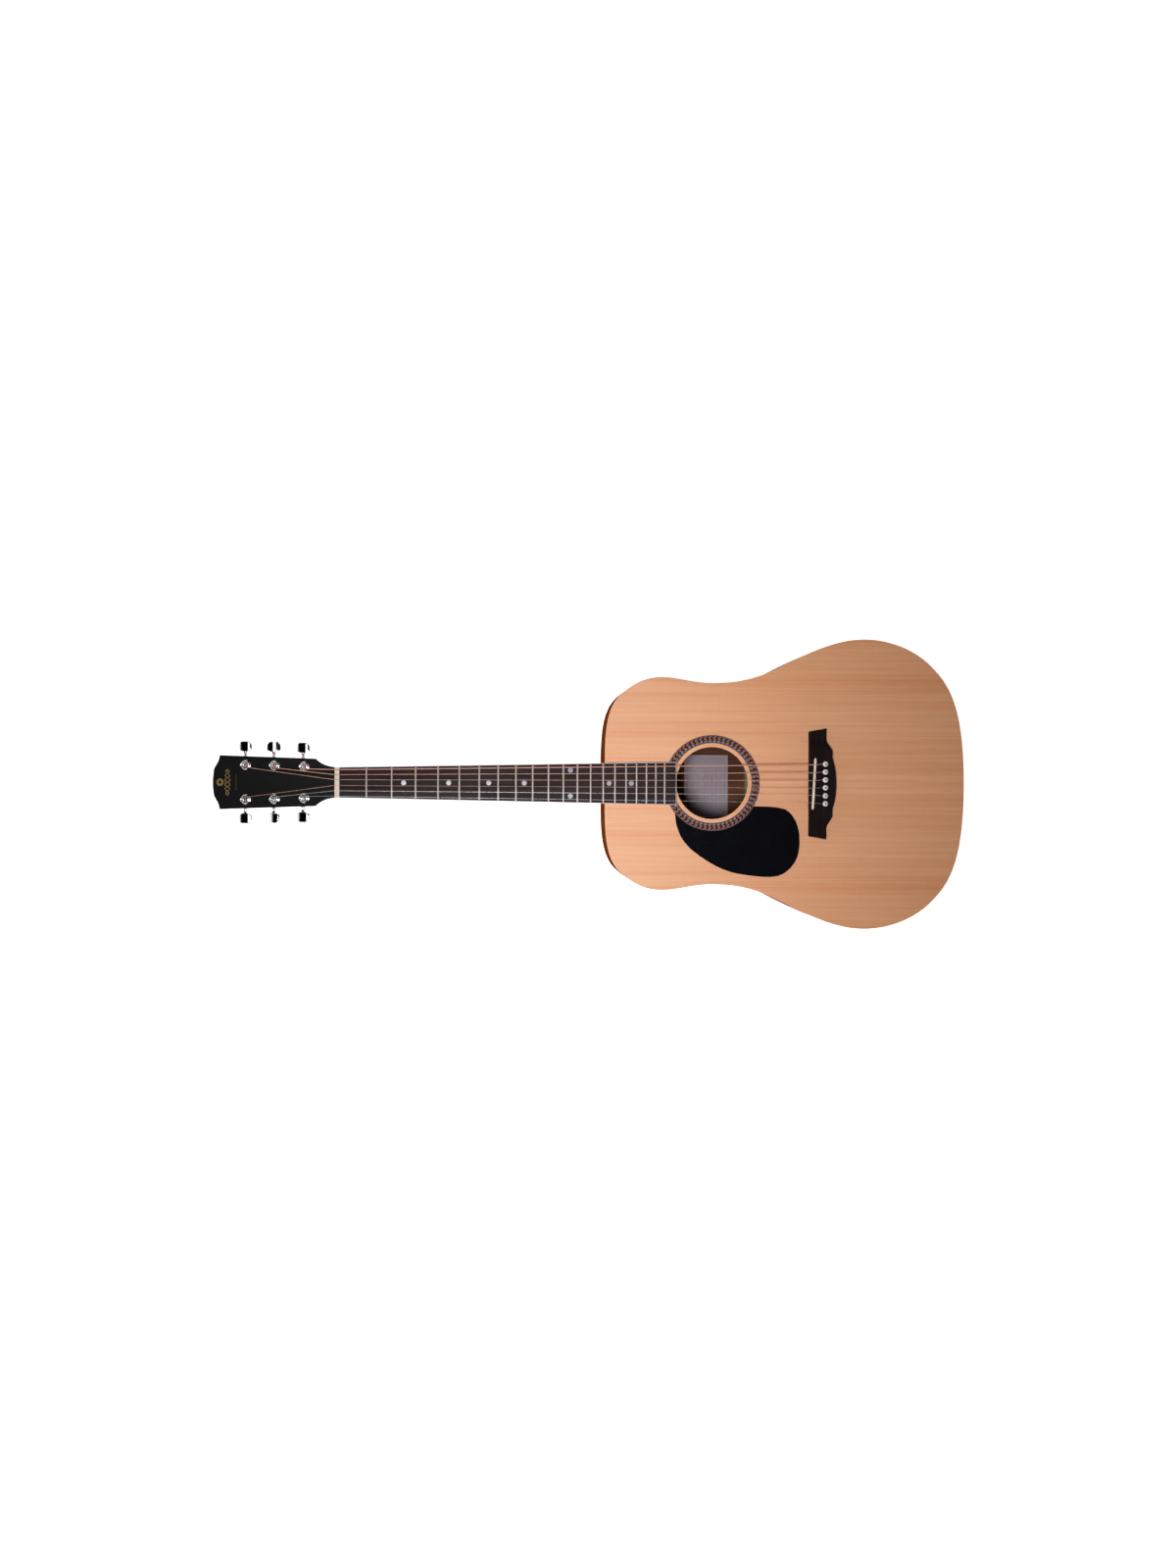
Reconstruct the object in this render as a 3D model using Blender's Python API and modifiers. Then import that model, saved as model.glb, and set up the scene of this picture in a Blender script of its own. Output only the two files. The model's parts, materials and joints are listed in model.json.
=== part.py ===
"""Left-handed dreadnought acoustic guitar, lying on its flat back.

Board frame: x runs from the nut (0) to the tail, +y is the bass side, z = 0 is the face of the
soundboard. The soundboard slopes against the back because the body grows deeper to the tail, so
everything but the back hangs under one tilted empty. Metres, +Z up.
"""
import math

import bmesh
import bpy
from mathutils import Matrix, Vector

MM = 0.001
GAP = 0.3 * MM                       # between pieces that touch
SHARP_ANGLE = math.radians(35)       # edges sharper than this stay crisp when shaded

# Body
NECK_JOINT_X = 363 * MM              # 14th fret
TAIL_X = 865 * MM
DEPTH_AT_NECK = 100 * MM
DEPTH_AT_TAIL = 120 * MM
SOUNDBOARD_T = 2.8 * MM
BACK_T = 3.0 * MM
SIDE_T = 2.2 * MM
LINING_W = 6 * MM
LINING_H = 15 * MM
# Anchors of one half of the outline: x, half-width, heading in degrees, handle before and after
OUTLINE = (
    (363, 0, 90, 0, 60),
    (387, 125, 40, 34, 32),          # shoulder
    (443, 147.2, 0, 13, 20),         # upper bout
    (510, 139.5, 0, 24, 27),         # waist
    (606, 162, 27, 45, 55),
    (725, 201.3, 0, 36, 37),         # lower bout
    (818, 165, -45, 30, 33),
    (865, 0, -90, 114, 0),
)
OUTLINE_STEPS = 5
ROUND_STEPS = 40                     # segments of the sound hole and rosette

# Sound hole and rosette
HOLE_X, HOLE_Y = 511.8 * MM, 0.9 * MM
HOLE_R = 49.6 * MM
ROSETTE_IN, ROSETTE_OUT = 55.2 * MM, 66.5 * MM
ROSETTE_DEPTH = 1.5 * MM

# Scratch plate: anchors of its free edge, from the rosette's tail side round to its head side
SCRATCH_PLATE = (
    (570, -31.5, -2, 0, 18),
    (617.6, -38.4, -38, 12, 15),
    (633.5, -80, -90, 16, 20),
    (609.2, -125.1, -152, 20, 14),
    (553.4, -125.1, 172, 18, 25),
    (487.3, -94, 142, 25, 18),
    (460.8, -41.9, 92, 26, 0),
)
SCRATCH_PLATE_T = 0.6 * MM

# Fretboard, nut and frets
SCALE_LENGTH = 650 * MM
FRETS = 20
BOARD_END_X = 461.7 * MM
NUT_WIDTH = 42.3 * MM
BOARD_END_WIDTH = 59.4 * MM
BOARD_EDGE_H = 5.6 * MM
BOARD_CROWN = 0.9 * MM
FRET_HALF_W, FRET_H = 1.2 * MM, 1.0 * MM
NUT_BACK_X, NUT_FRONT_X = -6.7 * MM, -0.3 * MM
NUT_H = 7.8 * MM
NUT_DROP = 0.9 * MM                  # the nut's top falls this much towards the head

# Neck: x and depth under z = 0, growing into the heel
NECK_DEPTHS = (
    (-6.3, 17), (4, 15.8), (22, 15), (160, 16), (280, 17.5), (304, 19.5), (320, 24.5),
    (333, 33), (343, 45), (351, 60), (357, 77), (362.7, 95),
)

# Head: s is the distance from the nut along the head's face
HEAD_PITCH = math.radians(14)
HEAD_X = -6 * MM                     # the face meets the soundboard's plane here
HEADPLATE_T = 1.5 * MM
HEAD_T = 16.5 * MM
HEAD_CORNER = (29.3, 32.6)
HEAD_TIP_CORNER = (168.6, 37.5)
HEAD_TIP_S = 178.5

# Truss rod
TRUSS_Z = -9.5 * MM
TRUSS_R = 3 * MM
TRUSS_START_X, TRUSS_END_X = 15 * MM, 417 * MM
ROD_WAY_R, KEY_WAY_R = 4.2 * MM, 4.8 * MM   # holes for the rod, and for its key beyond it
TRUSS_NUT_R, TRUSS_NUT_LENGTH, HEX_SOCKET_R = 4 * MM, 15 * MM, 2.9 * MM

# Bridge
BRIDGE_H = 8.5 * MM
BRIDGE_HALF = (                      # one half of its outline, treble side mirrored
    (645.9, 0), (645.9, 72.6), (670.8, 77), (670.8, 59.5), (673, 55.3),
    (678, 46.6), (678.2, 35.6), (681.2, 24), (682.8, 12), (683.4, 0),
)
SADDLE_CENTRE = (652.3 * MM, 0.2 * MM)
SADDLE_LENGTH, SADDLE_W = 71.5 * MM, 3 * MM
SADDLE_YAW = math.radians(-3.05)
SADDLE_TOP, SADDLE_FOOT = 11.9 * MM, 3 * MM
PIN_X = 668 * MM
PIN_R, PIN_HOLE_R, PIN_HEAD_R = 2.1 * MM, 2.45 * MM, 3.8 * MM
PIN_LENGTH = 24 * MM
STRING_SLOT_X = 664.9 * MM
SLOT_HALF_W = 1.1 * MM
KEYHOLE_SPAN = (-10 * MM, 15 * MM)   # through the bridge, the soundboard and the bridge plate
RAMP_START_X, RAMP_FLOOR_Z = 659.6 * MM, 4.2 * MM

# Strings, bass to treble: name, radius, y at nut, saddle and pin
STRINGS = (
    ("e_low", 0.675, 17.4, 26.5, 27.5),
    ("a", 0.535, 10.7, 15.5, 16.6),
    ("d", 0.405, 3.8, 4.7, 5.6),
    ("g", 0.305, -4.1, -5.8, -5.2),
    ("b", 0.205, -11.3, -15.4, -16.3),
    ("e_high", 0.15, -18.6, -26.1, -27.3),
)
STRING_LIFT = 0.3 * MM               # clearance under a string at the nut and saddle

# Tuners: s and y of the post, resting angle of the button in degrees
TUNERS = {
    "e_low": (44.3, 21.7, -3),
    "a": (87.2, 23.1, 8),
    "d": (129.1, 23.8, -3),
    "g": (129.1, -23.8, 4),
    "b": (87.2, -23.1, 16),
    "e_high": (44.3, -21.7, 8),
}
POST_R, WAIST_R = 3 * MM, 2.4 * MM
POST_TOP = 16 * MM
WAIST_LOW, WAIST_HIGH = 7.5 * MM, 13 * MM
STRING_W = 9.5 * MM                  # height of the string over the head at the post
SLEEVE_R, SLEEVE_BORE = 5 * MM, 3.3 * MM
WASHER_R, HEX_R = 7 * MM, 6.1 * MM
WORM_S = 10.4 * MM                   # worm axis from the post, towards the tip
WORM_W = -22.5 * MM                  # worm axis below the head's face
GEAR_R, WORM_R = 7.4 * MM, 2.6 * MM
GEAR_BORE, WORM_BORE = 7.7 * MM, 2.85 * MM
HOUSING_H = 11.4 * MM
SHAFT_R = 2.4 * MM
BUTTON_NEAR, BUTTON_FAR = 19 * MM, 34.4 * MM
BUTTON_HALF_W, BUTTON_HALF_T = 10.5 * MM, 3.9 * MM

# Braces and blocks; a block is its x range and half-width
NECK_BLOCK = (365.6 * MM, 411 * MM, 37 * MM)
TAIL_BLOCK = (838 * MM, 861.2 * MM, 35 * MM)
BRACE_H = 14 * MM
X_CROSS_X = 590 * MM
X_ANGLE = math.radians(48)
X_REACH = (-160 * MM, 222 * MM)
X_WIDTH = 8 * MM
X_END_T = 5 * MM                     # height of the X brace at its scalloped ends
UPPER_BRACE_X, UPPER_BRACE_HALF, UPPER_BRACE_W = 440 * MM, 130 * MM, 12 * MM
PLATE_T = 2.5 * MM
BRIDGE_PLATE_HALF = ((645, 0), (645, 52), (690, 80), (690, 0))
BACK_BRACES = ((440, 134, 9), (574, 137, 9), (670, 178, 16), (770, 176, 16))   # x, half-length, width
BACK_BRACE_H, BACK_BRACE_END_H, BACK_BRACE_TAPER = 16 * MM, 5 * MM, 40

SLOPE = math.asin((DEPTH_AT_TAIL - DEPTH_AT_NECK) / (TAIL_X - NECK_JOINT_X))
BOARD_Z0 = DEPTH_AT_NECK - NECK_JOINT_X * math.sin(SLOPE)   # height of the nut end of z = 0

COLOURS = {                          # colour, roughness, metallic
    "spruce": ((0.78, 0.50, 0.30, 1), 0.45, 0),
    "mahogany": ((0.16, 0.05, 0.025, 1), 0.45, 0),
    "rosewood": ((0.055, 0.03, 0.028, 1), 0.5, 0),
    "bracing": ((0.75, 0.6, 0.4, 1), 0.7, 0),
    "bone": ((0.85, 0.8, 0.66, 1), 0.35, 0),
    "black": ((0.012, 0.012, 0.013, 1), 0.4, 0),
    "inlay": ((0.3, 0.2, 0.22, 1), 0.4, 0),
    "chrome": ((0.8, 0.8, 0.82, 1), 0.12, 1),
    "steel": ((0.6, 0.6, 0.62, 1), 0.3, 1),
    "bronze": ((0.72, 0.42, 0.25, 1), 0.35, 1),
}


# ---------------------------------------------------------------- helpers

def clear_scene():
    for obj in list(bpy.data.objects):
        bpy.data.objects.remove(obj, do_unlink=True)


def parts_collection():
    parts = bpy.data.collections.new("acoustic_guitar")
    bpy.context.scene.collection.children.link(parts)
    return parts


def material(name):
    if name in bpy.data.materials:
        return bpy.data.materials[name]
    colour, roughness, metallic = COLOURS[name]
    made = bpy.data.materials.new(name)
    made.use_nodes = True
    shader = made.node_tree.nodes["Principled BSDF"]
    shader.inputs["Base Color"].default_value = colour
    shader.inputs["Roughness"].default_value = roughness
    shader.inputs["Metallic"].default_value = metallic
    return made


def empty(name, parent=None, location=(0, 0, 0), rotation=(0, 0, 0)):
    made = bpy.data.objects.new(name, None)
    PARTS.objects.link(made)
    made.parent = parent
    made.location = location
    made.rotation_euler = rotation
    return made


def new_object(name, data):
    made = bpy.data.objects.new(name, data)
    PARTS.objects.link(made)
    return made


def from_bmesh(name, bm):
    mesh = bpy.data.meshes.new(name)
    bmesh.ops.recalc_face_normals(bm, faces=bm.faces)
    bm.to_mesh(mesh)
    bm.free()
    return new_object(name, mesh)


def bake(obj):
    """Replace the object's data by the mesh that its modifiers make."""
    graph = bpy.context.evaluated_depsgraph_get()
    graph.update()
    mesh = bpy.data.meshes.new_from_object(obj.evaluated_get(graph))
    name, matrix = obj.name, obj.matrix_world.copy()
    bpy.data.objects.remove(obj, do_unlink=True)
    mesh.name = name
    made = new_object(name, mesh)
    made.matrix_world = matrix
    return made


def weld(obj):
    bm = bmesh.new()
    bm.from_mesh(obj.data)
    bmesh.ops.remove_doubles(bm, verts=bm.verts, dist=0.00001)
    bmesh.ops.recalc_face_normals(bm, faces=bm.faces)
    bm.to_mesh(obj.data)
    bm.free()
    return obj


def combine(obj, tools, operation):
    """Boolean the tools with the object, one after another, and remove them."""
    for tool in tools:
        step = obj.modifiers.new("step", "BOOLEAN")
        step.operation = operation
        step.object = tool
    made = bake(obj)
    for tool in tools:
        bpy.data.objects.remove(tool, do_unlink=True)
    return made


def cut(obj, *tools):
    return combine(obj, tools, "DIFFERENCE")


def join(obj, *tools):
    return combine(obj, tools, "UNION")


def prism(name, outlines, low, high):
    """A flat outline, with any holes in it, between two heights."""
    curve = bpy.data.curves.new(name, "CURVE")
    curve.dimensions = "2D"
    curve.fill_mode = "BOTH"
    curve.extrude = (high - low) / 2
    for points in outlines:
        spline = curve.splines.new("POLY")
        spline.points.add(len(points) - 1)
        spline.use_cyclic_u = True
        for point, (x, y) in zip(spline.points, points):
            point.co = (x, y, 0, 1)
    obj = new_object(name, curve)
    obj.location.z = (high + low) / 2
    return weld(bake(obj))


def box(name, low, high):
    bm = bmesh.new()
    bmesh.ops.create_cube(bm, size=1)
    low, high = Vector(low), Vector(high)
    size = high - low
    bmesh.ops.scale(bm, vec=size, verts=bm.verts)
    bmesh.ops.translate(bm, vec=low + size / 2, verts=bm.verts)
    return from_bmesh(name, bm)


def cylinder(name, radius, start, end, segments=16):
    """A cylinder between two points."""
    start, end = Vector(start), Vector(end)
    axis = end - start
    bm = bmesh.new()
    bmesh.ops.create_cone(
        bm, cap_ends=True, segments=segments, radius1=radius, radius2=radius, depth=axis.length
    )
    turn = axis.to_track_quat("Z", "Y").to_matrix().to_4x4()
    bmesh.ops.transform(bm, matrix=Matrix.Translation((start + end) / 2) @ turn, verts=bm.verts)
    return from_bmesh(name, bm)


def turned(name, profile, steps=12):
    """A profile of radius and height, given from the top down, turned about z."""
    mesh = bpy.data.meshes.new(name)
    points = [(radius, 0, height) for radius, height in profile]
    mesh.from_pydata(points, [(i, i + 1) for i in range(len(points) - 1)], [])
    obj = new_object(name, mesh)
    screw = obj.modifiers.new("turn", "SCREW")
    screw.steps = screw.render_steps = steps
    screw.use_merge_vertices = True
    screw.merge_threshold = 0.00001
    return bake(obj)


def loft(name, sections):
    """Closed sections of equal point count, skinned one to the next and capped."""
    bm = bmesh.new()
    rings = [[bm.verts.new(point) for point in section] for section in sections]
    count = len(rings[0])
    for near, far in zip(rings, rings[1:]):
        for i in range(count):
            j = (i + 1) % count
            bm.faces.new((near[i], near[j], far[j], far[i]))
    bm.faces.new(rings[0])
    bm.faces.new(rings[-1])
    return from_bmesh(name, bm)


def finish(obj, material_name, parent):
    obj.data.materials.clear()
    obj.data.materials.append(material(material_name))
    obj.data.shade_smooth()
    obj.data.set_sharp_from_angle(angle=SHARP_ANGLE)
    obj.parent = parent
    obj.matrix_parent_inverse = Matrix.Identity(4)
    return obj


def circle(x, y, radius, steps):
    turns = [2 * math.pi * i / steps for i in range(steps)]
    return [(x + radius * math.cos(a), y + radius * math.sin(a)) for a in turns]


def bezier(anchors, steps):
    """Points along cubic spans; an anchor is x, y, heading, handle before, handle after."""
    points = []
    for (x0, y0, turn0, _, out), (x1, y1, turn1, back, _) in zip(anchors, anchors[1:]):
        a, d = Vector((x0, y0)), Vector((x1, y1))
        b = a + out * Vector((math.cos(math.radians(turn0)), math.sin(math.radians(turn0))))
        c = d - back * Vector((math.cos(math.radians(turn1)), math.sin(math.radians(turn1))))
        for i in range(steps):
            t = i / steps
            u = 1 - t
            points.append(u ** 3 * a + 3 * u * u * t * b + 3 * u * t * t * c + t ** 3 * d)
    points.append(Vector(anchors[-1][:2]))
    return [(p.x * MM, p.y * MM) for p in points]


HALF_OUTLINE = bezier(OUTLINE, OUTLINE_STEPS)


def mirrored(half):
    """A closed outline from a half that starts and ends on y = 0."""
    return half + [(x, -y) for x, y in half[-2:0:-1]]


def inset(points, distance):
    """Open outline moved inwards, to the right of its direction."""
    moved = []
    last = len(points) - 1
    for i, point in enumerate(points):
        before, after = Vector(points[max(i - 1, 0)]), Vector(points[min(i + 1, last)])
        along = (after - before).normalized()
        moved.append((point[0] + along.y * distance, point[1] - along.x * distance))
    return moved


def back_z(x, height):
    """Board-frame z, at x, of the level plane this high above the bottom of the back."""
    return (height - BOARD_Z0 - x * math.sin(SLOPE)) / math.cos(SLOPE)


def board_half_width(x):
    return (NUT_WIDTH + (BOARD_END_WIDTH - NUT_WIDTH) * x / BOARD_END_X) / 2


def fret_x(number):
    return SCALE_LENGTH * (1 - 2 ** (-number / 12))


# ---------------------------------------------------------------- body

def make_soundboard(board):
    top = prism(
        "soundboard",
        [mirrored(HALF_OUTLINE), circle(HOLE_X, HOLE_Y, HOLE_R, ROUND_STEPS)],
        -SOUNDBOARD_T, 0,
    )
    channel = prism(
        "channel",
        [circle(HOLE_X, HOLE_Y, ROSETTE_OUT, ROUND_STEPS), circle(HOLE_X, HOLE_Y, ROSETTE_IN, ROUND_STEPS)],
        -ROSETTE_DEPTH, 1 * MM,
    )
    top = cut(top, channel)
    top = cut(top, *[string_hole(string) for string in STRINGS])
    finish(top, "spruce", board)


def make_rosette(board):
    ring = prism(
        "rosette",
        [
            circle(HOLE_X, HOLE_Y, ROSETTE_OUT - GAP, ROUND_STEPS),
            circle(HOLE_X, HOLE_Y, ROSETTE_IN + GAP, ROUND_STEPS),
        ],
        GAP - ROSETTE_DEPTH, 0,
    )
    finish(ring, "inlay", board)


def make_back(root):
    """The back lies level, so its outline is the body's, cut on the slant."""
    stretch = 1 / math.cos(SLOPE)
    shift = BOARD_Z0 * math.tan(SLOPE)
    half = [(x * stretch + shift, y) for x, y in HALF_OUTLINE]
    finish(prism("back", [mirrored(half)], 0, BACK_T), "mahogany", root)


def ribbon(name, points, top_z, bottom_z, thickness):
    """An upright strip along an open outline, thickened inwards."""
    bm = bmesh.new()
    pairs = [
        (bm.verts.new((x, y, top_z(x))), bm.verts.new((x, y, bottom_z(x)))) for x, y in points
    ]
    for (upper, lower), (next_upper, next_lower) in zip(pairs, pairs[1:]):
        bm.faces.new((upper, lower, next_lower, next_upper))
    obj = from_bmesh(name, bm)
    shell = obj.modifiers.new("thickness", "SOLIDIFY")
    shell.thickness = thickness
    # The strip faces its far side or its near side, so the offset follows its first face.
    facing = obj.data.polygons[0].normal
    first, second = Vector(points[0]), Vector(points[1])
    inwards = Vector((second.y - first.y, first.x - second.x, 0))
    shell.offset = 1 if facing.dot(inwards) > 0 else -1
    return bake(obj)


def make_sides(board):
    """Two bent ribs, each with its linings at the top and the back."""
    top = -SOUNDBOARD_T - GAP
    low = BACK_T + GAP
    half = [(HALF_OUTLINE[0][0], 0.2 * MM)] + HALF_OUTLINE[1:-1] + [(HALF_OUTLINE[-1][0], 0.2 * MM)]
    clear_of_blocks = [point for point in HALF_OUTLINE if point[1] > 38 * MM]
    lining_path = inset(clear_of_blocks, SIDE_T * 0.6)
    lining_t = SIDE_T * 0.4 + LINING_W
    for name, sign in (("side_bass", 1), ("side_treble", -1)):
        rib = ribbon(name, half, lambda x: top, lambda x: back_z(x, low), SIDE_T)
        top_lining = ribbon(
            "top_lining", lining_path, lambda x: top - GAP, lambda x: top - LINING_H, lining_t
        )
        back_lining = ribbon(
            "back_lining", lining_path,
            lambda x: back_z(x, low + LINING_H), lambda x: back_z(x, low + GAP), lining_t,
        )
        rib = join(rib, top_lining, back_lining)
        start = (NECK_JOINT_X - 5 * MM, 0, TRUSS_Z)
        rib = cut(rib, cylinder("rod_way", ROD_WAY_R, start, (NECK_JOINT_X + 5 * MM, 0, TRUSS_Z)))
        if sign < 0:
            rib.data.transform(Matrix.Diagonal((1, -1, 1, 1)))
            rib.data.flip_normals()
        finish(rib, "mahogany", board)


def wedge(name, start, end, half_width):
    """A block between the soundboard and the slanting back."""
    top = -SOUNDBOARD_T - GAP
    sections = [
        [
            (x, -half_width, top), (x, half_width, top),
            (x, half_width, back_z(x, BACK_T + GAP)), (x, -half_width, back_z(x, BACK_T + GAP)),
        ]
        for x in (start, end)
    ]
    return loft(name, sections)


def make_blocks(board):
    neck_block = wedge("neck_block", *NECK_BLOCK)
    way = cylinder("rod_way", ROD_WAY_R, (NECK_JOINT_X, 0, TRUSS_Z), (TRUSS_END_X, 0, TRUSS_Z))
    finish(cut(neck_block, way), "mahogany", board)
    finish(wedge("tail_block", *TAIL_BLOCK), "mahogany", board)


def brace_bar(name, width):
    """One arm of the X brace, along x through the crossing, its top against the soundboard."""
    top = -SOUNDBOARD_T - GAP
    start, end = X_REACH
    profile = [
        (start, top), (start, top - X_END_T), (start + 40 * MM, top - BRACE_H),
        (end - 60 * MM, top - BRACE_H), (end, top - X_END_T), (end, top),
    ]
    sections = [[(x, y, z) for x, z in profile] for y in (-width / 2, width / 2)]
    return loft(name, sections)


def make_x_brace(board):
    """Two bars that cross in a halving joint, each notched for the other."""
    middle = -SOUNDBOARD_T - GAP - BRACE_H / 2
    notch = X_WIDTH / 2 + GAP
    reach = 30 * MM
    for name, sign, low, high in (
        ("x_brace_1", 1, middle - GAP / 2, 0), ("x_brace_2", -1, -50 * MM, middle + GAP / 2)
    ):
        bar = brace_bar(name, X_WIDTH)
        slot = box("slot", (-reach, -notch, low), (reach, notch, high))
        slot.rotation_euler.z = -sign * 2 * X_ANGLE
        bar = cut(bar, slot)
        finish(bar, "bracing", board)
        bar.rotation_euler.z = sign * X_ANGLE
        bar.location.x = X_CROSS_X


def make_braces(root, board):
    top = -SOUNDBOARD_T - GAP
    upper = box(
        "upper_brace",
        (UPPER_BRACE_X - UPPER_BRACE_W / 2, -UPPER_BRACE_HALF, top - BRACE_H),
        (UPPER_BRACE_X + UPPER_BRACE_W / 2, UPPER_BRACE_HALF, top),
    )
    way = cylinder("key_way", KEY_WAY_R, (TRUSS_END_X, 0, TRUSS_Z), (HOLE_X, 0, TRUSS_Z))
    finish(cut(upper, way), "bracing", board)
    outline = mirrored([(x * MM, y * MM) for x, y in BRIDGE_PLATE_HALF])
    plate = prism("bridge_plate", [outline], top - PLATE_T, top)
    plate = cut(plate, *[string_hole(string) for string in STRINGS])
    finish(plate, "mahogany", board)
    shift = BOARD_Z0 * math.tan(SLOPE)
    low = BACK_T + GAP
    high = low + BACK_BRACE_H
    for number, (x, half_length, width) in enumerate(BACK_BRACES, 1):
        centre = x * MM / math.cos(SLOPE) + shift
        flat = half_length - BACK_BRACE_TAPER
        end_top = low + BACK_BRACE_END_H
        profile = [
            (-half_length, low), (half_length, low), (half_length, end_top),
            (flat, high), (-flat, high), (-half_length, end_top),
        ]
        edges = (centre - width * MM / 2, centre + width * MM / 2)
        sections = [[(edge, y * MM, z) for y, z in profile] for edge in edges]
        finish(loft(f"back_brace_{number}", sections), "bracing", root)


def make_scratch_plate(board):
    """A thin plate that hugs the rosette and spreads towards the treble edge."""
    outer = bezier(SCRATCH_PLATE, 6)
    radius = ROSETTE_OUT + 0.1 * MM
    down, up = (math.asin((end[1] - HOLE_Y) / radius) for end in (outer[-1], outer[0]))
    first, last = -math.pi - down, up
    steps = 14
    angles = [first + (last - first) * i / steps for i in range(steps + 1)]
    inner = [(HOLE_X + radius * math.cos(a), HOLE_Y + radius * math.sin(a)) for a in angles]
    plate = prism("scratch_plate", [outer + inner], GAP, GAP + SCRATCH_PLATE_T)
    finish(plate, "black", board)


# ---------------------------------------------------------------- bridge

def string_hole(string):
    """A keyhole: the pin's hole with a slot for the string on its saddle side."""
    y = string[4] * MM
    reach = STRING_SLOT_X - 1 * MM
    opening = math.asin(SLOT_HALF_W / PIN_HOLE_R)
    steps = 12
    angles = [math.pi + opening + (2 * math.pi - 2 * opening) * i / steps for i in range(steps + 1)]
    points = [(PIN_X + PIN_HOLE_R * math.cos(a), y + PIN_HOLE_R * math.sin(a)) for a in angles]
    points += [(reach, y + SLOT_HALF_W), (reach, y - SLOT_HALF_W)]
    return prism("keyhole", [points], *KEYHOLE_SPAN)


def string_ramp(string):
    """The slot in the bridge's top that lets the string down into its hole."""
    y = string[4] * MM
    half = SLOT_HALF_W + 0.15 * MM
    above = BRIDGE_H + 3 * MM
    return box("ramp", (RAMP_START_X, y - half, RAMP_FLOOR_Z), (STRING_SLOT_X, y + half, above))


def make_bridge(board):
    half = [(x * MM, y * MM) for x, y in BRIDGE_HALF]
    bridge = prism("bridge", [mirrored(half)], GAP, BRIDGE_H)
    slot = box(
        "slot",
        (-SADDLE_W / 2 - GAP, -SADDLE_LENGTH / 2 - GAP, SADDLE_FOOT - GAP),
        (SADDLE_W / 2 + GAP, SADDLE_LENGTH / 2 + GAP, 20 * MM),
    )
    slot.location = (*SADDLE_CENTRE, 0)
    slot.rotation_euler.z = SADDLE_YAW
    bridge = cut(bridge, slot)
    bridge = cut(bridge, *[string_hole(string) for string in STRINGS])
    bridge = cut(bridge, *[string_ramp(string) for string in STRINGS])
    finish(bridge, "rosewood", board)
    saddle = box(
        "saddle",
        (-SADDLE_W / 2, -SADDLE_LENGTH / 2, SADDLE_FOOT),
        (SADDLE_W / 2, SADDLE_LENGTH / 2, SADDLE_TOP),
    )
    finish(saddle, "bone", board)
    saddle.location = (*SADDLE_CENTRE, 0)
    saddle.rotation_euler.z = SADDLE_YAW


def make_pins(board):
    head_low = BRIDGE_H + GAP
    profile = [
        (0, head_low + 4.4 * MM), (2.2 * MM, head_low + 3.8 * MM),
        (PIN_HEAD_R, head_low + 1.8 * MM), (PIN_HEAD_R - 0.5 * MM, head_low),
        (PIN_R, head_low), (PIN_R - 0.3 * MM, head_low - PIN_LENGTH + 1.5 * MM),
        (0, head_low - PIN_LENGTH),
    ]
    mesh = None
    for name, _, _, _, y in STRINGS:
        if mesh is None:
            pin = turned(f"bridge_pin_{name}", profile)
            mesh = pin.data
        else:
            pin = new_object(f"bridge_pin_{name}", mesh)
        finish(pin, "bone", board)
        pin.location = (PIN_X, y * MM, 0)


# ---------------------------------------------------------------- neck

def crowned_section(x, lift):
    """Fretboard section: flat underside, cambered top."""
    half = board_half_width(x)
    top = []
    for i in range(5):
        y = half * (1 - i / 2)
        camber = BOARD_CROWN * (1 - (y / half) ** 2)
        top.append((x, y, BOARD_EDGE_H + camber + lift))
    return [(x, -half, GAP), (x, half, GAP)] + top


def make_fretboard(board):
    """The board with its frets seated across it."""
    sections = [crowned_section(0, 0)]
    for number in range(1, FRETS + 1):
        x = fret_x(number)
        sections.append(crowned_section(x - FRET_HALF_W, 0))
        sections.append(crowned_section(x - FRET_HALF_W * 0.5, FRET_H))
        sections.append(crowned_section(x + FRET_HALF_W * 0.5, FRET_H))
        sections.append(crowned_section(x + FRET_HALF_W, 0))
    sections.append(crowned_section(BOARD_END_X, 0))
    finish(loft("fretboard", sections), "rosewood", board)


def make_nut(board):
    half = NUT_WIDTH / 2
    sections = [
        [
            (NUT_BACK_X, y, GAP), (NUT_FRONT_X, y, GAP),
            (NUT_FRONT_X, y, NUT_H), (NUT_BACK_X, y, NUT_H - NUT_DROP),
        ]
        for y in (-half, half)
    ]
    finish(loft("nut", sections), "bone", board)


def neck_section(x, depth):
    half = board_half_width(max(x, 0))
    steps = 12
    under = [math.pi * i / steps for i in range(steps + 1)]
    return [(x, half * math.cos(a), -depth * math.sin(a) ** 0.85) for a in under]


def head_outline():
    """The head's outline in its own plane: x is minus the distance from the nut."""
    nut_half = NUT_WIDTH / MM / 2
    shoulder = bezier(
        ((0, nut_half, 3, 0, 12), (HEAD_CORNER[0], HEAD_CORNER[1], 43, 11, 0)), 6
    )
    tip = bezier(
        (
            (HEAD_TIP_CORNER[0], HEAD_TIP_CORNER[1], -84, 0, 7),
            (174, 23.5, -58, 6, 5),
            (HEAD_TIP_S - 0.9, 13, -84, 5, 5),
            (HEAD_TIP_S, 0, -90, 7, 0),
        ),
        4,
    )
    half = shoulder + tip[:-1]
    tip_point = tip[-1]
    whole = half + [tip_point] + [(x, -y) for x, y in reversed(half)]
    return [(-x, y) for x, y in whole]


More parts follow.
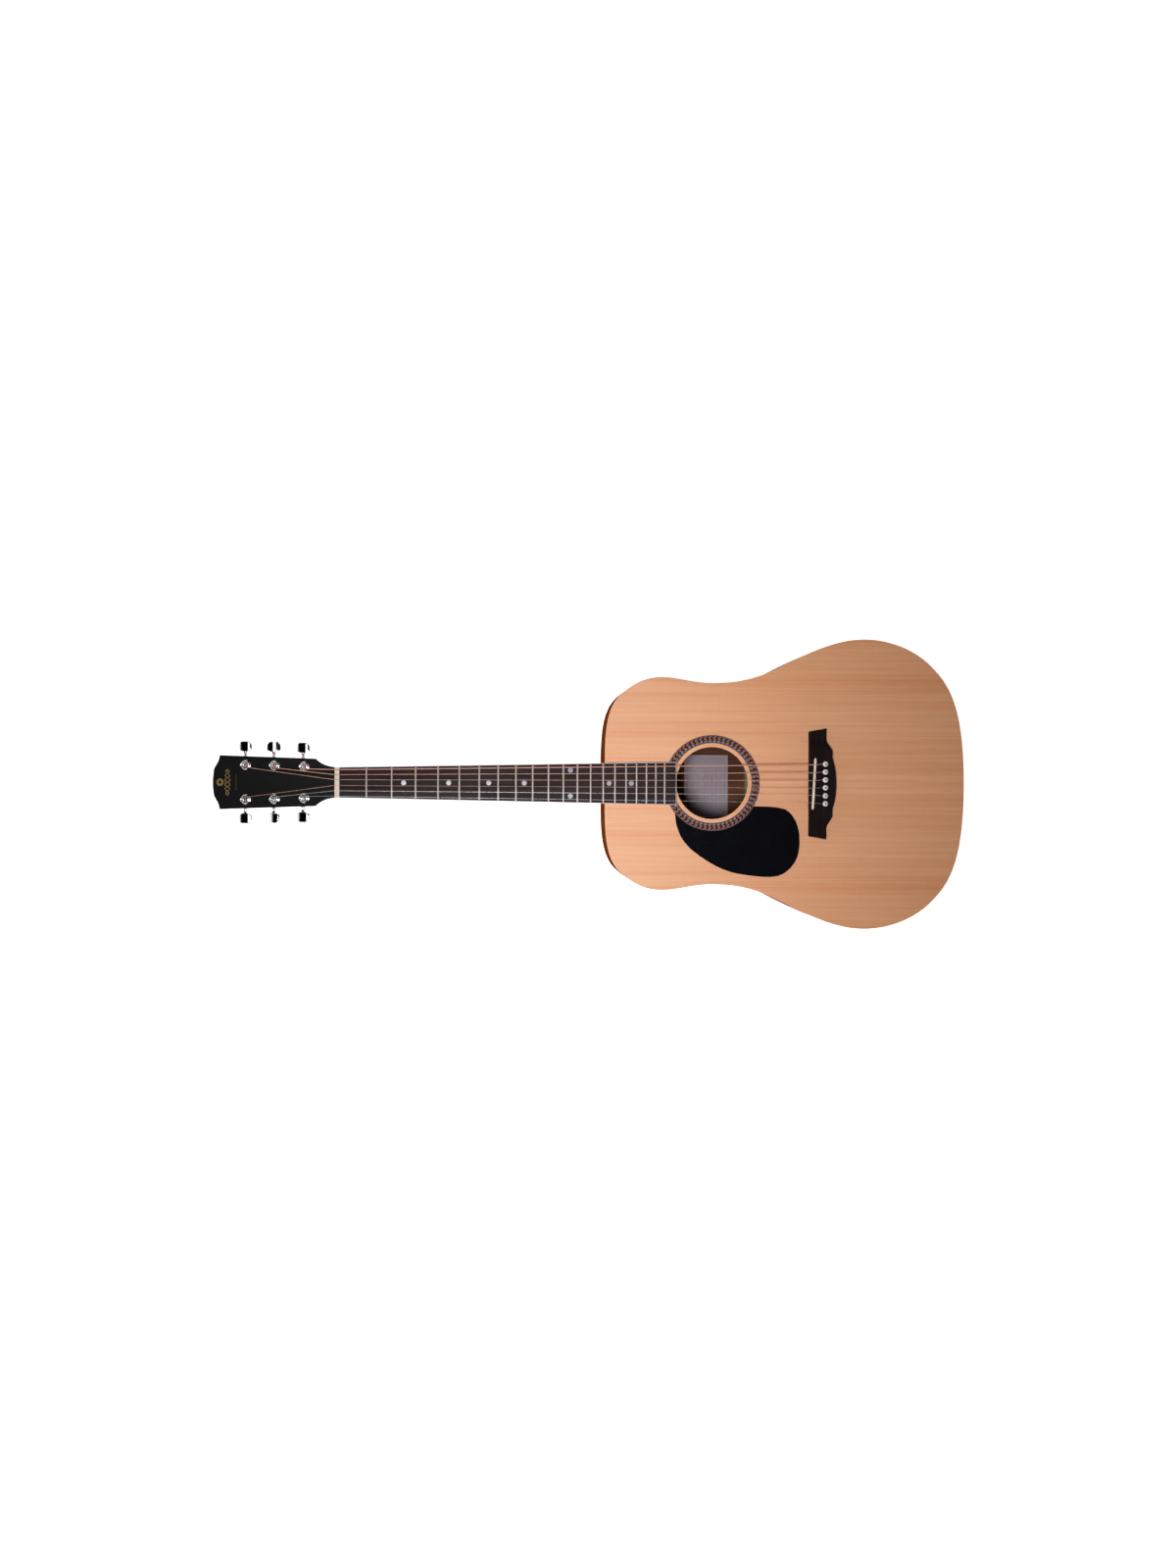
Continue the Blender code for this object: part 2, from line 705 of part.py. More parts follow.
def make_neck(board, head):
    """Shaft and heel in one loft, with the head joined on and the rod's channel cut."""
    shaft = loft("neck", [neck_section(x * MM, depth * MM) for x, depth in NECK_DEPTHS])
    slab = prism("slab", [head_outline()], -HEAD_T, -HEADPLATE_T - GAP)
    slab.matrix_world = head.matrix_world @ slab.matrix_world
    neck = join(shaft, slab)
    channel = box(
        "channel", (13 * MM, -TRUSS_R - GAP, TRUSS_Z - TRUSS_R - GAP), (370 * MM, TRUSS_R + GAP, 5 * MM)
    )
    neck = cut(neck, channel)
    holes = []
    for s, y, _ in TUNERS.values():
        hole = cylinder("hole", SLEEVE_R + GAP, (-s * MM, y * MM, -30 * MM), (-s * MM, y * MM, 5 * MM))
        hole.matrix_world = head.matrix_world.copy()
        holes.append(hole)
    finish(cut(neck, *holes), "mahogany", board)


def make_headplate(head):
    outline = [(min(x, -1 * MM), y) for x, y in head_outline()]
    holes = [circle(-s * MM, y * MM, SLEEVE_R + GAP, 16) for s, y, _ in TUNERS.values()]
    finish(prism("headplate", [outline] + holes, -HEADPLATE_T, 0), "black", head)


def make_truss_rod(board):
    rod = cylinder("truss_rod", TRUSS_R, (TRUSS_START_X, 0, TRUSS_Z), (TRUSS_END_X, 0, TRUSS_Z), 12)
    finish(rod, "steel", board)
    nut = cylinder("truss_rod_nut", TRUSS_NUT_R, (0, 0, 0), (TRUSS_NUT_LENGTH, 0, 0), 16)
    depth = 9 * MM
    start = (TRUSS_NUT_LENGTH - depth, 0, 0)
    socket = cylinder("socket", HEX_SOCKET_R, start, (2 * TRUSS_NUT_LENGTH, 0, 0), 6)
    nut = finish(cut(nut, socket), "steel", board)
    nut.location = (TRUSS_END_X + GAP, 0, TRUSS_Z)


# ---------------------------------------------------------------- tuners

def bushing_mesh():
    """Washer and hexagon nut on the head, with the threaded sleeve below."""
    low = -HEAD_T + 1.5 * MM
    sleeve = turned(
        "bushing",
        [
            (SLEEVE_BORE, GAP + 3.6 * MM), (SLEEVE_R, GAP + 3.6 * MM), (SLEEVE_R, GAP + 1.2 * MM),
            (WASHER_R - 0.6 * MM, GAP + 1.2 * MM), (WASHER_R, GAP), (SLEEVE_R, GAP),
            (SLEEVE_R, low), (SLEEVE_BORE, low), (SLEEVE_BORE, GAP + 3.6 * MM),
        ],
    )
    hexagon = cylinder("hexagon", HEX_R, (0, 0, GAP + 0.8 * MM), (0, 0, GAP + 3.2 * MM), 6)
    bore = cylinder("bore", SLEEVE_BORE + 0.5 * MM, (0, 0, -1 * MM), (0, 0, 9 * MM), 12)
    return join(weld(sleeve), cut(hexagon, bore))


def housing_mesh():
    """Gear case behind the head: pocket for the worm wheel, bore for the worm, outlet for the shaft."""
    top = -HEAD_T - GAP
    case = box(
        "housing",
        (-WORM_S - 4.6 * MM, -9.2 * MM, top - HOUSING_H), (9.2 * MM, 9.2 * MM, top),
    )
    bevel = case.modifiers.new("edges", "BEVEL")
    bevel.width = 1.6 * MM
    bevel.segments = 1
    bevel.limit_method = "ANGLE"
    case = bake(case)
    worm = (-WORM_S, 0, WORM_W)
    boss = cylinder("boss", 4.2 * MM, (worm[0], 7 * MM, worm[2]), (worm[0], 13 * MM, worm[2]), 12)
    case = join(case, boss)
    pocket = cylinder("pocket", GEAR_BORE, (0, 0, WORM_W - 3 * MM), (0, 0, WORM_W + 3 * MM), 16)
    neck_bore = cylinder("bore", SLEEVE_BORE, (0, 0, WORM_W), (0, 0, 0), 12)
    worm_bore = cylinder(
        "worm_bore", WORM_BORE, (worm[0], -7 * MM, worm[2]), (worm[0], 20 * MM, worm[2]), 12
    )
    return cut(case, pocket, neck_bore, worm_bore)


def post_mesh():
    """String post with its worm wheel."""
    wheel = 2.7 * MM
    post = turned(
        "post",
        [
            (0, POST_TOP), (POST_R - 0.6 * MM, POST_TOP), (POST_R, POST_TOP - 0.8 * MM),
            (POST_R, WAIST_HIGH), (WAIST_R, WAIST_HIGH - 1 * MM), (WAIST_R, WAIST_LOW + 1 * MM),
            (POST_R, WAIST_LOW), (POST_R, WORM_W + wheel), (GEAR_R, WORM_W + wheel),
            (GEAR_R, WORM_W - wheel), (0, WORM_W - wheel),
        ],
    )
    eye = cylinder("eye", 0.9 * MM, (-5 * MM, 0, 11 * MM), (5 * MM, 0, 11 * MM), 8)
    return cut(post, eye)


def button_mesh():
    """Kidney-shaped button on the worm's shaft, which runs along y."""
    steps = 16
    sections = []
    middle = (BUTTON_NEAR + BUTTON_FAR) / 2
    half = (BUTTON_FAR - BUTTON_NEAR) / 2
    for height, share in ((-1, 0.78), (-0.45, 1), (0.45, 1), (1, 0.78)):
        ring = []
        for i in range(steps):
            a = 2 * math.pi * i / steps
            x = math.copysign(abs(math.cos(a)) ** 0.62, math.cos(a)) * BUTTON_HALF_W
            y = math.copysign(abs(math.sin(a)) ** 0.85, math.sin(a)) * half
            ring.append((x * share, middle + y * share, height * BUTTON_HALF_T))
        sections.append(ring)
    button = loft("button", sections)
    shaft = cylinder("shaft", SHAFT_R, (0, 6 * MM, 0), (0, middle, 0), 12)
    worm = cylinder("worm", WORM_R, (0, -6.5 * MM, 0), (0, 7 * MM, 0), 12)
    return join(button, shaft, worm)


def make_tuners(head):
    """Six sets; the treble row is the bass row turned half round, so its buttons point out."""
    kinds = {
        "bushing": (bushing_mesh(), "chrome"),
        "housing": (housing_mesh(), "chrome"),
        "post": (post_mesh(), "chrome"),
        "button": (button_mesh(), "chrome"),
    }
    treble_housing = kinds["housing"][0].data.copy()
    treble_housing.transform(Matrix.Diagonal((1, -1, 1, 1)))
    treble_housing.flip_normals()
    for name, (s, y, angle) in TUNERS.items():
        side = 1 if y > 0 else -1
        for kind, (source, finish_name) in kinds.items():
            mesh = source.data
            if kind == "housing" and side < 0:
                mesh = treble_housing
            piece = new_object(f"tuner_{name}_{kind}", mesh)
            finish(piece, finish_name, head)
            piece.location = (-s * MM, y * MM, 0)
            if kind == "button":
                piece.location += Vector((-WORM_S, 0, WORM_W))
                turn = Matrix.Rotation(0 if side > 0 else math.pi, 4, "Z")
                piece.rotation_euler = (turn @ Matrix.Rotation(math.radians(angle), 4, "Y")).to_euler()
    for source, _ in kinds.values():
        bpy.data.objects.remove(source, do_unlink=True)


# ---------------------------------------------------------------- strings

def string_route(string, head):
    """Points and radius factors, in the board frame, from the post to the ball end."""
    name, radius, y_nut, y_saddle, y_pin = string
    radius *= MM
    s, y_post, _ = TUNERS[name]
    side = 1 if y_post > 0 else -1
    beside = y_post * MM - side * (POST_R + 2 * radius + 2 * GAP)
    post = head.matrix_local @ Vector((-s * MM, beside, STRING_W))
    saddle_x = SADDLE_CENTRE[0] + (y_saddle * MM - SADDLE_CENTRE[1]) * math.tan(-SADDLE_YAW)
    over_nut = NUT_H + STRING_LIFT + radius
    over_saddle = SADDLE_TOP + STRING_LIFT + radius
    y_nut, y_saddle, y_pin = y_nut * MM, y_saddle * MM, y_pin * MM
    x = STRING_SLOT_X
    ball = 2 * MM / radius
    plate_low = -SOUNDBOARD_T - 2 * GAP - PLATE_T
    return [
        (post, 1),
        ((NUT_BACK_X, y_nut, over_nut - NUT_DROP + 0.1 * MM), 1),
        ((NUT_FRONT_X, y_nut, over_nut), 1),
        ((saddle_x - SADDLE_W / 2, y_saddle, over_saddle), 1),
        ((saddle_x + SADDLE_W / 2, y_saddle, over_saddle), 1),
        ((x - 2.6 * MM, y_pin, 7.4 * MM), 1),
        ((x - 0.7 * MM, y_pin, 5.8 * MM), 1),
        ((x, y_pin, 3.6 * MM), 1),
        ((x, y_pin, plate_low - 1.2 * MM), 1),
        ((x - 1.2 * MM, y_pin, plate_low - 2.2 * MM), 1),
        ((x - 1.4 * MM, y_pin, plate_low - 2.7 * MM), ball),
        ((x - 1.4 * MM, y_pin, plate_low - 6.2 * MM), ball),
    ]


def make_strings(board, head):
    for index, string in enumerate(STRINGS):
        curve = bpy.data.curves.new(f"string_{string[0]}", "CURVE")
        curve.dimensions = "3D"
        curve.bevel_depth = string[1] * MM
        curve.bevel_resolution = 1
        curve.use_fill_caps = True
        route = string_route(string, head)
        spline = curve.splines.new("POLY")
        spline.points.add(len(route) - 1)
        for point, (place, factor) in zip(spline.points, route):
            point.co = (*place, 1)
            point.radius = factor
        wire = new_object(f"string_{string[0]}", curve)
        curve.materials.append(material("bronze" if index < 4 else "steel"))
        wire.parent = board


# ---------------------------------------------------------------- assembly

def world_box():
    graph = bpy.context.evaluated_depsgraph_get()
    graph.update()
    low, high = Vector((1e9,) * 3), Vector((-1e9,) * 3)
    for obj in PARTS.objects:
        if obj.type == "EMPTY":
            continue
        mesh = obj.evaluated_get(graph).to_mesh()
        for vertex in mesh.vertices:
            place = obj.matrix_world @ vertex.co
            low = Vector(map(min, low, place))
            high = Vector(map(max, high, place))
    return low, high


def build():
    root = empty("guitar")
    # The board frame stands level at the origin until its pieces are made, so meshes are in it.
    board = empty("board_frame", root)
    head = empty("head_frame", board, (HEAD_X, 0, 0), (0, -HEAD_PITCH, 0))
    bpy.context.view_layer.update()
    make_soundboard(board)
    make_rosette(board)
    make_back(root)
    make_sides(board)
    make_blocks(board)
    make_x_brace(board)
    make_braces(root, board)
    make_scratch_plate(board)
    make_bridge(board)
    make_pins(board)
    make_fretboard(board)
    make_nut(board)
    make_neck(board, head)
    make_headplate(head)
    make_truss_rod(board)
    make_tuners(head)
    make_strings(board, head)
    board.location = (0, 0, BOARD_Z0)
    board.rotation_euler = (0, -SLOPE, 0)
    low, high = world_box()
    root.location.x = -(low.x + high.x) / 2
    root.location.y = -(low.y + high.y) / 2


clear_scene()
PARTS = parts_collection()
build()
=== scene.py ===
"""Looks of a left-handed dreadnought acoustic guitar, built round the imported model.

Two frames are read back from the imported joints. BOARD: x from the nut to the tail, +y the bass
side, z = 0 the face of the soundboard. HEAD: the face of the headstock, x from its tip to the nut.
"""

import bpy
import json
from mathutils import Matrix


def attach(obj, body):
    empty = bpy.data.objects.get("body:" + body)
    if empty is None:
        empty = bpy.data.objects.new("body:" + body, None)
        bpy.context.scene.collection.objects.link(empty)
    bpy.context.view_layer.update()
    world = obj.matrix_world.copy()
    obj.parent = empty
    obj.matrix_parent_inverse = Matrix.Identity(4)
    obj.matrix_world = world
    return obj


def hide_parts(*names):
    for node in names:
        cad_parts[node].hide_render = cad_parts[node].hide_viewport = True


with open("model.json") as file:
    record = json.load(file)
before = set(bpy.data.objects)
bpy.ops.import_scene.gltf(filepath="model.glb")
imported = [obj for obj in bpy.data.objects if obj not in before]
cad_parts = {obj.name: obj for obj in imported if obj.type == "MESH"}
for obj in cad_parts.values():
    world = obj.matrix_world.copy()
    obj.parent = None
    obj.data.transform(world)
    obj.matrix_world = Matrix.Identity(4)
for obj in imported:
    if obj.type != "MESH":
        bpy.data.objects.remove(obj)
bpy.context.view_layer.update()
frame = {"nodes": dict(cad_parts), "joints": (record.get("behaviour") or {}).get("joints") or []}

import json
from math import asin, atan2, copysign, cos, dist, exp, hypot, pi, radians, sin, sqrt, tan

import bmesh
import bpy
from mathutils import Matrix, Vector

MM = 0.001
GAP, HAIRLINE = 0.3, 0.02            # mm left between pieces that touch
GUITAR = "guitar"

# --- sizes shared with the CAD, in mm

SOUNDBOARD_T, BACK_T, SIDE_T = 2.8, 3.0, 2.2
OUTLINE = (                          # half of the body: x, y, heading, handle before, handle after
    (363, 0, 90, 0, 60),
    (387, 125, 40, 34, 32),
    (443, 147.2, 0, 13, 20),
    (510, 139.5, 0, 24, 27),
    (606, 162, 27, 45, 55),
    (725, 201.3, 0, 36, 37),
    (818, 165, -45, 30, 33),
    (865, 0, -90, 114, 0),
)
HOLE = Vector((511.8, 0.9))
HOLE_R, ROSETTE_IN, ROSETTE_OUT = 49.6, 55.2, 66.5
SCALE_LENGTH, FRETS = 650, 20
BOARD_END_X = 461.7
NUT_WIDTH, BOARD_END_WIDTH = 42.3, 59.4
BOARD_EDGE_H, BOARD_CROWN = 5.6, 0.9
NUT_BACK_X, NUT_FRONT_X, NUT_H = -6.7, -0.3, 7.8
HEAD_X, HEADPLATE_T, HEAD_T = -6, 1.5, 16.5
HEAD_CORNER, HEAD_TIP_CORNER, HEAD_TIP_S = (29.3, 32.6), (168.6, 37.5), 178.5
BRIDGE_H = 8.5
SADDLE_CENTRE, SADDLE_YAW = (652.3, 0.2), radians(-3.05)
SADDLE_LENGTH, SADDLE_W, SADDLE_TOP = 71.5, 3, 11.9
PIN_X, PIN_HOLE_R = 668, 2.45
STRING_SLOT_X = 664.9
STRINGS = (                          # name, radius, y at the nut, saddle and pin, in mm
    ("e_low", 0.675, 17.4, 26.5, 27.5),
    ("a", 0.535, 10.7, 15.5, 16.6),
    ("d", 0.405, 3.8, 4.7, 5.6),
    ("g", 0.305, -4.1, -5.8, -5.2),
    ("b", 0.205, -11.3, -15.4, -16.3),
    ("e_high", 0.15, -18.6, -26.1, -27.3),
)
PLAIN = ("b", "e_high")
WAIST_R = 2.4
STRING_W = 9.5
WORM_S, WORM_W = 10.4, -22.5
HOUSING_H, BUTTON_FAR = 11.4, 34.4
BUTTON_ANGLES = {"e_low": -3, "a": 8, "d": -3, "g": 4, "b": 16, "e_high": 8}
TRUSS_NUT_AT = Vector((417.3, 0, -9.5))
LINING_W, LINING_H = 6, 15
BINDING_W = 0.9
SCRATCH_PLATE = (
    (570, -31.5, -2, 0, 18),
    (617.6, -38.4, -38, 12, 15),
    (633.5, -80, -90, 16, 20),
    (609.2, -125.1, -152, 20, 14),
    (553.4, -125.1, 172, 18, 25),
    (487.3, -94, 142, 25, 18),
    (460.8, -41.9, 92, 26, 0),
)

# --- stage settings, in the board's mm

CAMERA_EYE, CAMERA_TARGET = (211, -8, 2400), (339.87, -0.99, 0)
CAMERA_ROLL, CAMERA_LENS = 0.00309, 40.04
FLOOR_PALE, FLOOR_LIGHT = (0.90, 0.90, 0.90), (0.92, 0.92, 0.92)
FLOOR_GLOW, FLOOR_HALF_M = 1.0, 12
SKY_SIDES, SKY_TOP, SKY_STRIP = 0.95, 0.001, 2.2    # strengths, the last for a strip light overhead
SKY_BOXES = 4                        # soft boxes round the horizon
KEY_PLACE, KEY_TARGET = (0, -300, 1900), (360, -40, 0)
KEY_SIZE, KEY_POWER, KEY_SPREAD = 0.5, 2.5, 47


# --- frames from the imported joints

def joint(name):
    return next(each for each in frame["joints"] if each["name"] == name)


def frame_matrix(x_axis, z_axis, origin):
    y_axis = z_axis.cross(x_axis).normalized()
    made = Matrix((x_axis, y_axis, z_axis)).transposed().to_4x4()
    made.translation = origin
    return made


def board_frame():
    x_axis = Vector(joint("adjust_neck")["axis"]).normalized()
    z_axis = Vector(joint("pull_pin_a")["axis"]).normalized()
    made = frame_matrix(x_axis, z_axis, Vector((0, 0, 0)))
    made.translation = Vector(joint("adjust_neck")["pos_m"]) - made.to_3x3() @ TRUSS_NUT_AT * MM
    return made


def head_frame():
    z_axis = Vector(joint("wind_a")["axis"]).normalized()
    x_axis = Vector((0, 1, 0)).cross(z_axis)
    return frame_matrix(x_axis, z_axis, BOARD @ (Vector((HEAD_X, 0, 0)) * MM))


BOARD = board_frame()
HEAD = head_frame()
HEAD_IN_BOARD = BOARD.inverted() @ HEAD
HEAD_IN_BOARD.translation /= MM
SLOPE = asin(BOARD[2][0])
BOARD_Z0 = BOARD.translation.z / MM
BACK_STRETCH, BACK_SHIFT = 1 / cos(SLOPE), BOARD_Z0 * tan(SLOPE)
BACK = Matrix.Translation((BOARD.translation.x, 0, 0))
POSTS = {
    name: HEAD.inverted() @ Vector(joint(f"wind_{name}")["pos_m"]) / MM for name, *_ in STRINGS
}


def shift(x, y, z):
    return Matrix.Translation((x * MM, y * MM, z * MM))


def back_z(x, height):
    """BOARD z, at x, of the level plane this high above the underside of the back."""
    return (height - BOARD_Z0 - x * sin(SLOPE)) / cos(SLOPE)


def board_half_width(x):
    return (NUT_WIDTH + (BOARD_END_WIDTH - NUT_WIDTH) * x / BOARD_END_X) / 2


def fret_x(number):
    return SCALE_LENGTH * (1 - 2 ** (-number / 12))


# --- outlines

def bezier(anchors, steps):
    """Points along cubic spans; an anchor is x, y, heading, handle before, handle after."""
    points = []
    for (x0, y0, turn0, _, out), (x1, y1, turn1, back, _) in zip(anchors, anchors[1:]):
        a, d = Vector((x0, y0)), Vector((x1, y1))
        b = a + out * Vector((cos(radians(turn0)), sin(radians(turn0))))
        c = d - back * Vector((cos(radians(turn1)), sin(radians(turn1))))
        for i in range(steps):
            t = i / steps
            u = 1 - t
            points.append(u ** 3 * a + 3 * u * u * t * b + 3 * u * t * t * c + t ** 3 * d)
    points.append(Vector(anchors[-1][:2]))
    return [(p.x, p.y) for p in points]


HALF_OUTLINE = bezier(OUTLINE, 30)


def mirrored(half):
    return half + [(x, -y) for x, y in half[-2:0:-1]]


def circle(x, y, radius, steps):
    turns = [2 * pi * i / steps for i in range(steps)]
    return [(x + radius * cos(a), y + radius * sin(a)) for a in turns]


def inset(points, distance):
    """An open outline moved to the right of its direction."""
    made = []
    last = len(points) - 1
    for i, point in enumerate(points):
        before, after = Vector(points[max(i - 1, 0)]), Vector(points[min(i + 1, last)])
        along = (after - before).normalized()
        made.append((point[0] + along.y * distance, point[1] - along.x * distance))
    return made


# --- mesh helpers

def link(name, data, matrix=None):
    made = bpy.data.objects.new(name, data)
    bpy.context.scene.collection.objects.link(made)
    if matrix is not None:
        made.matrix_world = matrix
    return made


def from_bmesh(name, bm, matrix=None, recalc=True):
    mesh = bpy.data.meshes.new(name)
    if recalc:
        bmesh.ops.recalc_face_normals(bm, faces=bm.faces)
    bm.to_mesh(mesh)
    bm.free()
    return link(name, mesh, matrix)


def bake(obj):
    """Replace the object by the mesh that its modifiers or curve make."""
    graph = bpy.context.evaluated_depsgraph_get()
    graph.update()
    mesh = bpy.data.meshes.new_from_object(obj.evaluated_get(graph))
    name, matrix = obj.name, obj.matrix_world.copy()
    bpy.data.objects.remove(obj, do_unlink=True)
    mesh.name = name
    return link(name, mesh, matrix)


def clean(obj, distance=0.000002):
    bm = bmesh.new()
    bm.from_mesh(obj.data)
    bmesh.ops.remove_doubles(bm, verts=bm.verts, dist=distance)
    bmesh.ops.recalc_face_normals(bm, faces=bm.faces)
    bm.to_mesh(obj.data)
    bm.free()
    return obj


def combine(obj, tools, operation):
    for tool in tools:
        step = obj.modifiers.new("step", "BOOLEAN")
        step.operation = operation
        step.object = tool
    made = bake(obj)
    for tool in tools:
        bpy.data.objects.remove(tool, do_unlink=True)
    return made


def cut(obj, *tools):
    return combine(obj, tools, "DIFFERENCE")


def moved(obj, matrix):
    obj.matrix_world = matrix
    return obj


def joined(name, pieces):
    """One object from closed pieces, in the frame of the first."""
    base = pieces[0].matrix_world.copy()
    bm = bmesh.new()
    for piece in pieces:
        mesh = piece.data.copy()
        mesh.transform(base.inverted() @ piece.matrix_world)
        bm.from_mesh(mesh)
        bpy.data.objects.remove(piece, do_unlink=True)
    return from_bmesh(name, bm, base)


def smooth(obj, angle=35, weighted=True):
    """Smooth shading that keeps flats flat."""
    obj.data.shade_smooth()
    obj.data.set_sharp_from_angle(angle=radians(angle))
    if weighted:
        normals = obj.modifiers.new("normals", "WEIGHTED_NORMAL")
        normals.weight = 80
        normals.keep_sharp = True
    return obj


def plate(name, outlines, low, high, edge, matrix=None):
    """A flat outline, with any holes, between two heights, its edges rounded."""
    curve = bpy.data.curves.new(name, "CURVE")
    curve.dimensions = "2D"
    curve.fill_mode = "BOTH"
    curve.extrude = ((high - low) / 2 - edge) * MM
    curve.bevel_depth = edge * MM
    curve.bevel_resolution = 3
    curve.offset = -edge * MM
    for points in outlines:
        spline = curve.splines.new("POLY")
        spline.points.add(len(points) - 1)
        spline.use_cyclic_u = True
        for point, (x, y) in zip(spline.points, points):
            point.co = (x * MM, y * MM, 0, 1)
    obj = bake(link(name, curve))
    obj.data.transform(shift(0, 0, (high + low) / 2))
    clean(obj)
    if matrix is not None:
        obj.matrix_world = matrix
    return obj


def loft(name, sections, matrix=None):
    """A closed skin over like sections, with flat ends."""
    bm = bmesh.new()
    rings = [[bm.verts.new(Vector(point) * MM) for point in section] for section in sections]
    bridge_rings(bm, rings)
    bm.faces.new(rings[0])
    bm.faces.new(rings[-1])
    return from_bmesh(name, bm, matrix)


def bridge_rings(bm, rings):
    count = len(rings[0])
    for near, far in zip(rings, rings[1:]):
        for i in range(count):
            j = (i + 1) % count
            bm.faces.new((near[i], near[j], far[j], far[i]))


def box(name, low, high, matrix=None):
    bm = bmesh.new()
    bmesh.ops.create_cube(bm, size=1)
    low, high = Vector(low) * MM, Vector(high) * MM
    bmesh.ops.scale(bm, vec=high - low, verts=bm.verts)
    bmesh.ops.translate(bm, vec=(low + high) / 2, verts=bm.verts)
    return from_bmesh(name, bm, matrix)


def cylinder(name, radius, start, end, segments=32):
    start, end, radius = Vector(start) * MM, Vector(end) * MM, radius * MM
    axis = end - start
    bm = bmesh.new()
    bmesh.ops.create_cone(
        bm, cap_ends=True, segments=segments, radius1=radius, radius2=radius, depth=axis.length
    )
    turn = axis.to_track_quat("Z", "Y").to_matrix().to_4x4()
    bmesh.ops.transform(bm, matrix=Matrix.Translation((start + end) / 2) @ turn, verts=bm.verts)
    return from_bmesh(name, bm)


def turned(name, profile, steps=48, matrix=None):
    """A profile of radius and height turned about z; it starts and ends on the axis, or closes."""
    bm = bmesh.new()
    rings = []
    for radius, height in profile:
        spots = circle(0, 0, radius, steps) if radius else [(0, 0)]
        rings.append([bm.verts.new((x * MM, y * MM, height * MM)) for x, y in spots])
    closed = len(rings[0]) > 1
    pairs = list(zip(rings, rings[1:])) + ([(rings[-1], rings[0])] if closed else [])
    for near, far in pairs:
        for i in range(steps):
            j, m, n = (i + 1) % steps, len(near), len(far)
            corners = [near[i % m], near[j % m], far[j % n], far[i % n]]
            bm.faces.new(list(dict.fromkeys(corners)))
    return from_bmesh(name, bm, matrix)


def wire(name, points, radius, matrix=None, resolution=4, radii=None):
    """A round wire through the points."""
    curve = bpy.data.curves.new(name, "CURVE")
    curve.dimensions = "3D"
    curve.bevel_depth = radius * MM
    curve.bevel_resolution = resolution
    curve.use_fill_caps = True
    spline = curve.splines.new("POLY")
    spline.points.add(len(points) - 1)
    for i, (point, place) in enumerate(zip(spline.points, points)):
        point.co = (*(Vector(place) * MM), 1)
        point.radius = radii[i] if radii else 1
    obj = bake(link(name, curve))
    clean(obj)
    obj.data.shade_smooth()
    obj.data.set_sharp_from_angle(angle=radians(50))
    if matrix is not None:
        obj.matrix_world = matrix
    return obj


def level(obj):
    """Give a piece the row's own axes, so that its box is no larger than the piece."""
    obj.data.transform(BACK.inverted() @ obj.matrix_world)
    obj.matrix_world = BACK.copy()
    return obj


def dress(obj, material, body=GUITAR, replaces=()):
    """Give a finished piece its material, body and the nodes it stands for."""
    obj.data.materials.clear()
    obj.data.materials.append(MATERIALS[material])
    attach(obj, body)
    if replaces:
        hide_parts(*replaces)
    return obj


# --- materials

def add_node(tree, kind, inputs=(), **settings):
    """A shader node; an input given as a socket is linked, any other is set."""
    made = tree.nodes.new("ShaderNode" + kind)
    for key, value in settings.items():
        setattr(made, key, value)
    for key, value in dict(inputs).items():
        if isinstance(value, bpy.types.NodeSocket):
            tree.links.new(value, made.inputs[key])
        else:
            made.inputs[key].default_value = value
    return made


class Paint:
    """One procedural material, in the piece's own metres."""

    def __init__(self, name, roughness=0.5, metallic=0.0, **sockets):
        self.material = bpy.data.materials.new(name)
        self.material.use_nodes = True
        self.tree = self.material.node_tree
        self.shader = self.tree.nodes["Principled BSDF"]
        for socket, value in {"Roughness": roughness, "Metallic": metallic, **sockets}.items():
            self.shader.inputs[socket.replace("_", " ")].default_value = value

    def node(self, kind, inputs=(), **settings):
        return add_node(self.tree, kind, inputs, **settings)

    def place(self, scale=(1, 1, 1), turn=(0, 0, 0)):
        place = self.node("TexCoord").outputs["Object"]
        inputs = {"Vector": place, "Scale": scale, "Rotation": turn}
        return self.node("Mapping", inputs).outputs["Vector"]

    def noise(self, vector, scale, detail=3.0, roughness=0.5):
        inputs = {"Vector": vector, "Scale": scale, "Detail": detail, "Roughness": roughness}
        return self.node("TexNoise", inputs).outputs["Fac"]

    def grain(self, vector, stretch, detail=3.0, roughness=0.6):
        """Noise drawn out along the axes with the small numbers."""
        drawn = self.node("Mapping", {"Vector": vector, "Scale": stretch}).outputs["Vector"]
        return self.noise(drawn, 1.0, detail, roughness)

    def calc(self, operation, first, second=0.0, third=0.0):
        inputs = {0: first, 1: second, 2: third}
        return self.node("Math", inputs, operation=operation).outputs[0]

    def spread(self, value, low, high, to_low=0.0, to_high=1.0):
        inputs = {0: value, 1: low, 2: high, 3: to_low, 4: to_high}
        return self.node("MapRange", inputs).outputs[0]

    def blend(self, factor, first, second):
        tones = ((*tone, 1) if isinstance(tone, tuple) else tone for tone in (first, second))
        inputs = dict(zip((0, 6, 7), (factor, *tones)))
        return self.node("Mix", inputs, data_type="RGBA", blend_type="MIX").outputs[2]

    def feed(self, socket, value):
        self.tree.links.new(value, self.shader.inputs[socket])

    def bump(self, height, depth, strength):
        inputs = {"Height": height, "Distance": depth, "Strength": strength}
        self.feed("Normal", self.node("Bump", inputs).outputs["Normal"])


